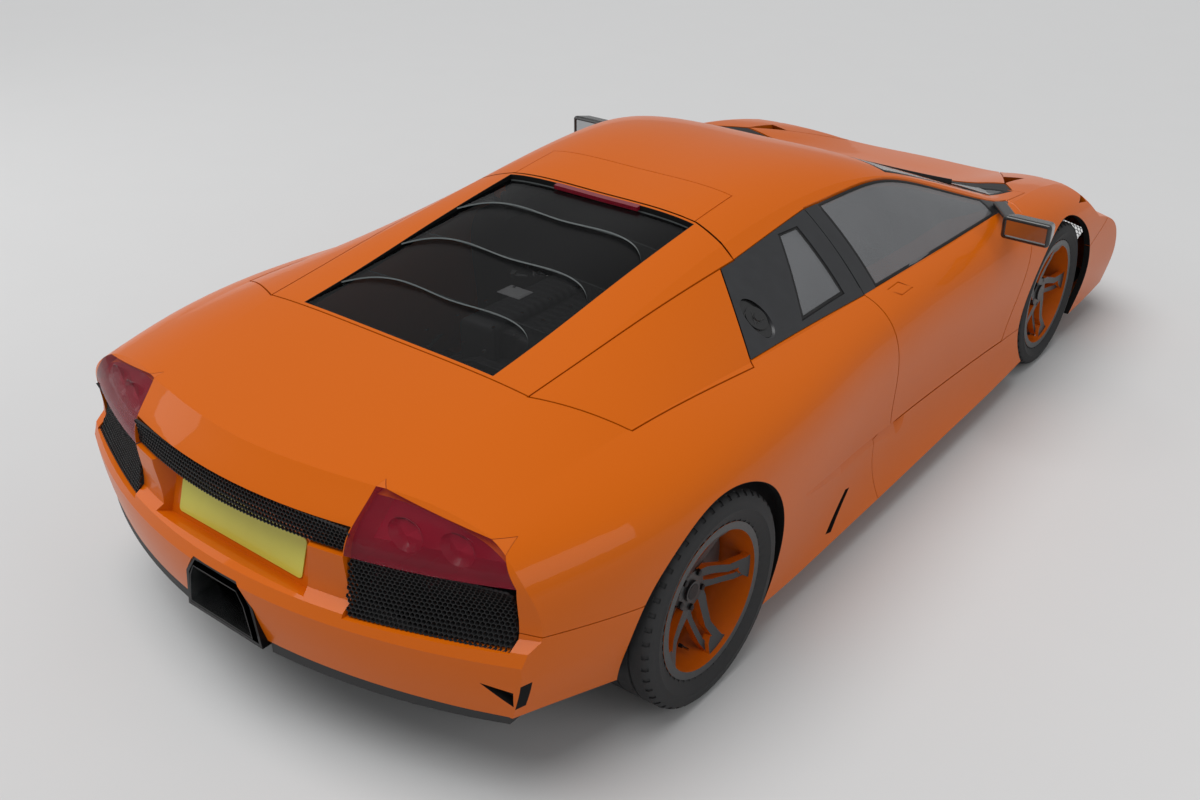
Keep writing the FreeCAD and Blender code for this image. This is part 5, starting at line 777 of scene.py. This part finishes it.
pod_finish = Finish("lamp_pod", Coat_Weight=0.3)
cloud = pod_finish.noise(30.0)
pod_finish.vary(cloud, pod_red, lens_crimson, smooth=0.20, rough=0.30)
cup_finish = Finish("lamp_cups", Metallic=0.8)
ripple = cup_finish.waves("Z", 60.0)
cup_finish.vary(ripple, cup_red, lens_crimson, smooth=0.15, rough=0.25)
bowl_finish = Finish("lamp_bowls", Coat_Weight=0.3)
soot = bowl_finish.noise(40.0)
bowl_finish.vary(soot, bowl_black, lens_dark, smooth=0.15, rough=0.25)
lens_face = outer_face("tail_lamps", 1, lens_top)
for side, sign in sides:
    shape = bmesh.new()
    shape.faces.new([shape.verts.new((sign * x, lens_face(x, z) - pod_depth, z)) for x, z in pod_corners])
    bmesh.ops.subdivide_edges(shape, edges=shape.edges[:], cuts=4, use_grid_fill=True)
    bmesh.ops.solidify(shape, geom=shape.faces[:], thickness=pod_wall)
    bmesh.ops.recalc_face_normals(shape, faces=shape.faces)
    show(f"lamp_pod_{side}", shape, [pod_finish], "root")
    shape = bmesh.new()
    for x, z, radius in bowls:
        turn = Matrix.Rotation(-math.pi / 2, 4, "X") @ Matrix.Rotation(sign * bowl_toe, 4, "Y")
        spot = Matrix.Translation((sign * x, lens_face(x, z) - bowl_behind, z)) @ turn
        bmesh.ops.create_cone(shape, cap_ends=False, segments=36, radius1=radius, radius2=radius * bowl_foot,
                              depth=bowl_depth, matrix=spot @ Matrix.Rotation(math.pi, 4, "X"))
        blades = bmesh.ops.create_cone(shape, cap_ends=True, cap_tris=True, segments=6,
                                       radius1=radius * blade_span, radius2=radius * blade_tip,
                                       depth=blade_depth, matrix=Matrix.Translation((0, 0, blade_up)))
        for k, vert in enumerate(blades["verts"]):
            if k % 2 and vert.co.xy.length > radius * blade_rim:
                vert.co.xy *= blade_waist
        for face in {face for vert in blades["verts"] for face in vert.link_faces}:
            face.material_index = 1
        bmesh.ops.transform(shape, matrix=spot, verts=blades["verts"])
    bmesh.ops.recalc_face_normals(shape, faces=shape.faces)
    cups = show(f"lamp_cups_{side}", shape, [bowl_finish, cup_finish], "root")
    wall = cups.modifiers.new("wall", "SOLIDIFY")
    wall.thickness = bowl_wall

# Grilles: black moulded honeycomb in thin walls, set behind the openings of the nose and the tail.
# Each is cut from a sheet of cells that follows the CAD grille's outer face.
tail_pitch = 0.0125
nose_pitch = 0.018
row_step = math.sqrt(0.75)
cell_wall = 0.0011
cell_depth = 0.008
cell_sink = 0.004
cell_margin = 0.0018
tail_side = ((0.441, 0.514), (0.860, 0.521), (0.848, 0.684), (0.436, 0.677))
tail_middle = ((-0.431, 0.685), (0.431, 0.685), (0.443, 0.757), (-0.443, 0.757))
nose_side = ((0.331, 0.191), (0.719, 0.191), (0.789, 0.334), (0.401, 0.334))
nose_middle = ((-0.259, 0.166), (0.259, 0.166), (0.259, 0.214), (-0.259, 0.214))

grille_finish = Finish("grille_black", Coat_Weight=0.2, Coat_Roughness=0.3)
cloud = grille_finish.noise(90.0)
grille_finish.vary(cloud, liner_black, trim_dark, smooth=0.35, rough=0.50)
grille_finish.grain(900.0, depth=0.0001)


def within(x, z, corners, margin):
    """Whether a point lies inside a convex outline, whichever way round it runs, by a margin."""
    gaps = []
    for (x1, z1), (x2, z2) in zip(corners, corners[1:] + corners[:1]):
        gaps.append(((x2 - x1) * (z - z1) - (z2 - z1) * (x - x1)) / math.hypot(x2 - x1, z2 - z1))
    return min(gaps) > margin or max(gaps) < -margin


def honeycomb(shape, corners, face, towards, pitch):
    """Cells inside an outline seen along the car, laid on a face and sunk below it."""
    left, low = [min(values) for values in zip(*corners)]
    right, high = [max(values) for values in zip(*corners)]
    sheet = bmesh.new()
    for row in range(int((high - low) / (pitch * row_step)) + 2):
        for column in range(int((right - left) / pitch) + 2):
            x = left + (column + 0.5 * (row % 2)) * pitch
            z = low + row * pitch * row_step
            if within(x, z, corners, cell_margin):
                spot = Matrix.Translation((x, 0.0, z)) @ Matrix.Rotation(math.pi / 2, 4, "X")
                bmesh.ops.create_circle(sheet, cap_ends=True, segments=6, radius=pitch / math.sqrt(3),
                                        matrix=spot)
    bmesh.ops.remove_doubles(sheet, verts=sheet.verts, dist=pitch * 0.05)
    inset = bmesh.ops.inset_individual(sheet, faces=sheet.faces[:], thickness=cell_wall / 2)
    walls = set(inset["faces"])
    bmesh.ops.delete(sheet, geom=[face for face in sheet.faces if face not in walls], context="FACES")
    grown = bmesh.ops.extrude_face_region(sheet, geom=sheet.faces[:])
    moved = [item for item in grown["geom"] if isinstance(item, bmesh.types.BMVert)]
    bmesh.ops.translate(sheet, verts=moved, vec=(0.0, -towards * cell_depth, 0.0))
    for vert in sheet.verts:
        vert.co.y += face(vert.co.x, vert.co.z) - towards * cell_sink
    bmesh.ops.recalc_face_normals(sheet, faces=sheet.faces)
    mesh = bpy.data.meshes.new("cells")
    sheet.to_mesh(mesh)
    sheet.free()
    shape.from_mesh(mesh)
    bpy.data.meshes.remove(mesh)


def grille(name, node, towards, pitch, side, middle):
    """A CAD grille's two side openings and the one between them, filled with cells."""
    face = outer_face(node, towards)
    shape = bmesh.new()
    for sign in (1, -1):
        honeycomb(shape, [(sign * x, z) for x, z in side], face, towards, pitch)
    honeycomb(shape, middle, face, towards, pitch)
    piece = show(name, shape, [grille_finish], "root")
    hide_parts(node)


grille("tail_honeycomb", "tail_grilles", 1, tail_pitch, tail_side, tail_middle)
grille("nose_honeycomb", "nose_grilles", -1, nose_pitch, nose_side, nose_middle)

# Number plate: a blank yellow-green pressed plate with rounded corners.
# It is stuck in the tail's recess, and leans as the recess does.
plate_yellow = (0.600, 0.565, 0.055)
plate_pale = (0.640, 0.610, 0.080)
plate_size = (0.520, 0.003, 0.111)
plate_place = (0.0, 2.199, 0.588)
plate_lean = math.radians(17.7)
plate_corner = 0.012

plate_finish = Finish("plate_yellow", Coat_Weight=0.3, Coat_Roughness=0.1)
grime = plate_finish.noise(20.0)
plate_finish.vary(grime, plate_yellow, plate_pale, smooth=0.30, rough=0.45)
shape = bmesh.new()
block(shape, plate_size, (0.0, -plate_size[1] / 2, 0.0))
through = [edge for edge in shape.edges if abs(edge.verts[0].co.y - edge.verts[1].co.y) > plate_size[1] / 2]
round_edges(shape, through, plate_corner, 6)
lean = Matrix.Translation(plate_place) @ Matrix.Rotation(plate_lean, 4, "X")
bmesh.ops.transform(shape, matrix=lean, verts=shape.verts)
plate = show("blank_plate", shape, [plate_finish], "root")
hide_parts("number_plate")

# Oil filler cap: a flat round cap in gloss black plastic with a low three-sided boss and a knob.
# It closes a plug that fills the round hole in the quarter panel.
gloss_grey = (0.014, 0.014, 0.015)
filler_middle = Vector((-0.7130, 0.785, 0.888))
filler_normal = Vector((-0.633, 0.0, 0.774))
filler_sink = 0.004
plug_radius = 0.0465
plug_length = 0.140
plug_start = Vector((0.085, 0.0, 0.0))
plug_below = 0.003
# Each step's radius, height, number of sides and taper.
filler_steps = ((0.0430, 0.006, 48, 0.97), (0.03612, 0.009, 3, 0.62 / 0.84), (0.018, 0.012, 24, 0.014 / 0.018))

gloss_finish = Finish("gloss_black", Coat_Weight=0.4, Coat_Roughness=0.02)
cloud = gloss_finish.noise(12.0)
gloss_finish.vary(cloud, liner_black, gloss_grey, smooth=0.20, rough=0.30)
shape = bmesh.new()
plug_frame = Matrix.Translation(filler_middle + plug_start) @ Matrix.Rotation(-math.pi / 2, 4, "Y")
cylinder(shape, plug_radius, plug_length, plug_frame, 64)
bmesh.ops.bisect_plane(shape, geom=shape.verts[:] + shape.edges[:] + shape.faces[:], clear_outer=True,
                       plane_co=filler_middle - filler_normal * plug_below, plane_no=filler_normal)
bmesh.ops.holes_fill(shape, edges=shape.edges[:])
filler_turn = filler_normal.to_track_quat("Z", "Y").to_matrix().to_4x4()
filler_seat = Matrix.Translation(filler_middle) @ filler_turn @ Matrix.Translation((0.0, 0.0, -filler_sink))
for radius, depth, segments, taper in filler_steps:
    cylinder(shape, radius, depth, filler_seat, segments, taper)
filler = show("oil_cap", shape, [gloss_finish], "root")
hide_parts("filler_cap")

# Mirrors: a rounded gloss black shell on a slim arm from the window's front corner.
# The shell narrows towards the front, and a flat glass is let into its rear.
mirror_middle = Vector((1.0205, -0.6125, 0.831))
mirror_size = (0.190, 0.098, 0.094)
mirror_front_width = 0.80
mirror_front_height = 0.62
mirror_round = 0.016
mirror_rim = 0.004
mirror_sink = 0.006
silver = (0.42, 0.43, 0.44)
silver_pale = (0.45, 0.46, 0.47)
arm_start = Vector((0.800, -0.865, 0.806))
arm_end = Vector((0.955, -0.640, 0.822))
arm_width = 0.052
arm_height = 0.022
arm_round = 0.009

mirror_glass = Finish("mirror_glass", Metallic=1.0)
haze = mirror_glass.noise(40.0)
mirror_glass.vary(haze, silver, silver_pale, smooth=0.01, rough=0.02)
for side, sign in sides:
    across = Matrix.Diagonal((sign, 1.0, 1.0))
    middle, start, end = across @ mirror_middle, across @ arm_start, across @ arm_end
    shape = bmesh.new()
    block(shape, mirror_size, middle)
    for vert in shape.verts:
        if vert.co.y < middle.y:
            vert.co.x = middle.x + (vert.co.x - middle.x) * mirror_front_width
            vert.co.z = middle.z + (vert.co.z - middle.z) * mirror_front_height
    round_edges(shape, shape.edges[:], mirror_round, 5)
    rear = max(shape.faces, key=lambda face: face.calc_center_median().y + face.calc_area())
    bmesh.ops.inset_region(shape, faces=[rear], thickness=mirror_rim)
    bmesh.ops.translate(shape, verts=rear.verts[:], vec=(0.0, -mirror_sink, 0.0))
    rear.material_index = 1
    run = end - start
    turn = run.to_track_quat("Y", "Z").to_matrix().to_4x4()
    block(shape, (arm_width, run.length, arm_height), (start + end) / 2, arm_round, 4, turn)
    mirror = show(f"door_mirror_{side}", shape, [gloss_finish, mirror_glass], f"door_{side}_body")
    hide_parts(f"mirror_{side}")

# Studio: a pale floor, a pale backdrop that only the camera sees, two large soft lamps at the sides and a wide
# soft light overhead.
floor_pale = (0.60, 0.600, 0.600)
floor_paler = (0.61, 0.610, 0.610)
floor_size = 40.0
air_grey = (0.80, 0.81, 0.82)
backdrop_pale = (1.48, 1.48, 1.49)
air_strength = 0.42
lamp_aim = Vector((0.0, 0.0, 0.5))
lamp_size = (4.0, 3.0)
lamp_power = 60.0
overhead_power = 2.1
overhead_spread = math.radians(50)
overhead_turn = (math.radians(-14), math.radians(10), 0.0)

floor_finish = Finish("floor_paper", Specular_IOR_Level=0.1)
fibre = floor_finish.noise(3.0)
floor_finish.vary(fibre, floor_pale, floor_paler, smooth=0.80, rough=0.90)
floor_shape = bmesh.new()
bmesh.ops.create_grid(floor_shape, x_segments=1, y_segments=1, size=floor_size)
floor_mesh = bpy.data.meshes.new("floor")
floor_shape.to_mesh(floor_mesh)
floor_shape.free()
floor_mesh.materials.append(floor_finish.material)
floor = bpy.data.objects.new("floor", floor_mesh)
bpy.context.scene.collection.objects.link(floor)

world = bpy.data.worlds.new("studio")
bpy.context.scene.world = world
world.use_nodes = True
backdrop = world.node_tree.nodes["Background"]
ray = world.node_tree.nodes.new("ShaderNodeLightPath")
pale = world.node_tree.nodes.new("ShaderNodeMix")
pale.data_type = "RGBA"
pale.inputs[6].default_value = (*air_grey, 1.0)
pale.inputs[7].default_value = (*backdrop_pale, 1.0)
world.node_tree.links.new(ray.outputs["Is Camera Ray"], pale.inputs[0])
world.node_tree.links.new(pale.outputs[2], backdrop.inputs["Color"])
backdrop.inputs["Strength"].default_value = air_strength

for name, place in (("right_side", (-6.5, 1.0, 3.4)), ("left_side", (6.0, 3.0, 3.6))):
    lamp = bpy.data.lights.new(name, "AREA")
    lamp.shape = "RECTANGLE"
    lamp.size, lamp.size_y = lamp_size
    lamp.energy = lamp_power
    light = bpy.data.objects.new(name, lamp)
    light.location = place
    light.rotation_euler = (lamp_aim - Vector(place)).to_track_quat("-Z", "Y").to_euler()
    bpy.context.scene.collection.objects.link(light)
sky = bpy.data.lights.new("overhead", "SUN")
sky.energy = overhead_power
sky.angle = overhead_spread
overhead = bpy.data.objects.new("overhead", sky)
overhead.rotation_euler = overhead_turn
bpy.context.scene.collection.objects.link(overhead)

# Camera: on the photograph's line of sight, behind and to the right of the car, a little above head height.
camera_place = Vector((-2.50521146, 3.82691423, 2.52096811))
camera_yaw = math.radians(38.19647393)
camera_pitch = math.radians(-28.72354641)
camera_roll = math.radians(0.22116623)
photo_width = 1200
focal_pixels = 1272.46

ahead = Vector((math.cos(camera_pitch) * math.sin(camera_yaw), -math.cos(camera_pitch) * math.cos(camera_yaw),
                math.sin(camera_pitch)))
level = ahead.cross(Vector((0.0, 0.0, 1.0))).normalized()
above = level.cross(ahead)
right = level * math.cos(camera_roll) + above * math.sin(camera_roll)
up = above * math.cos(camera_roll) - level * math.sin(camera_roll)
optics = bpy.data.cameras.new("camera")
optics.sensor_width = 36.0
optics.lens = optics.sensor_width * focal_pixels / photo_width
camera = bpy.data.objects.new("camera", optics)
camera.matrix_world = Matrix.Translation(camera_place) @ Matrix((right, up, -ahead)).transposed().to_4x4()
bpy.context.scene.collection.objects.link(camera)
bpy.context.scene.camera = camera
bpy.context.scene.view_settings.view_transform = "Standard"
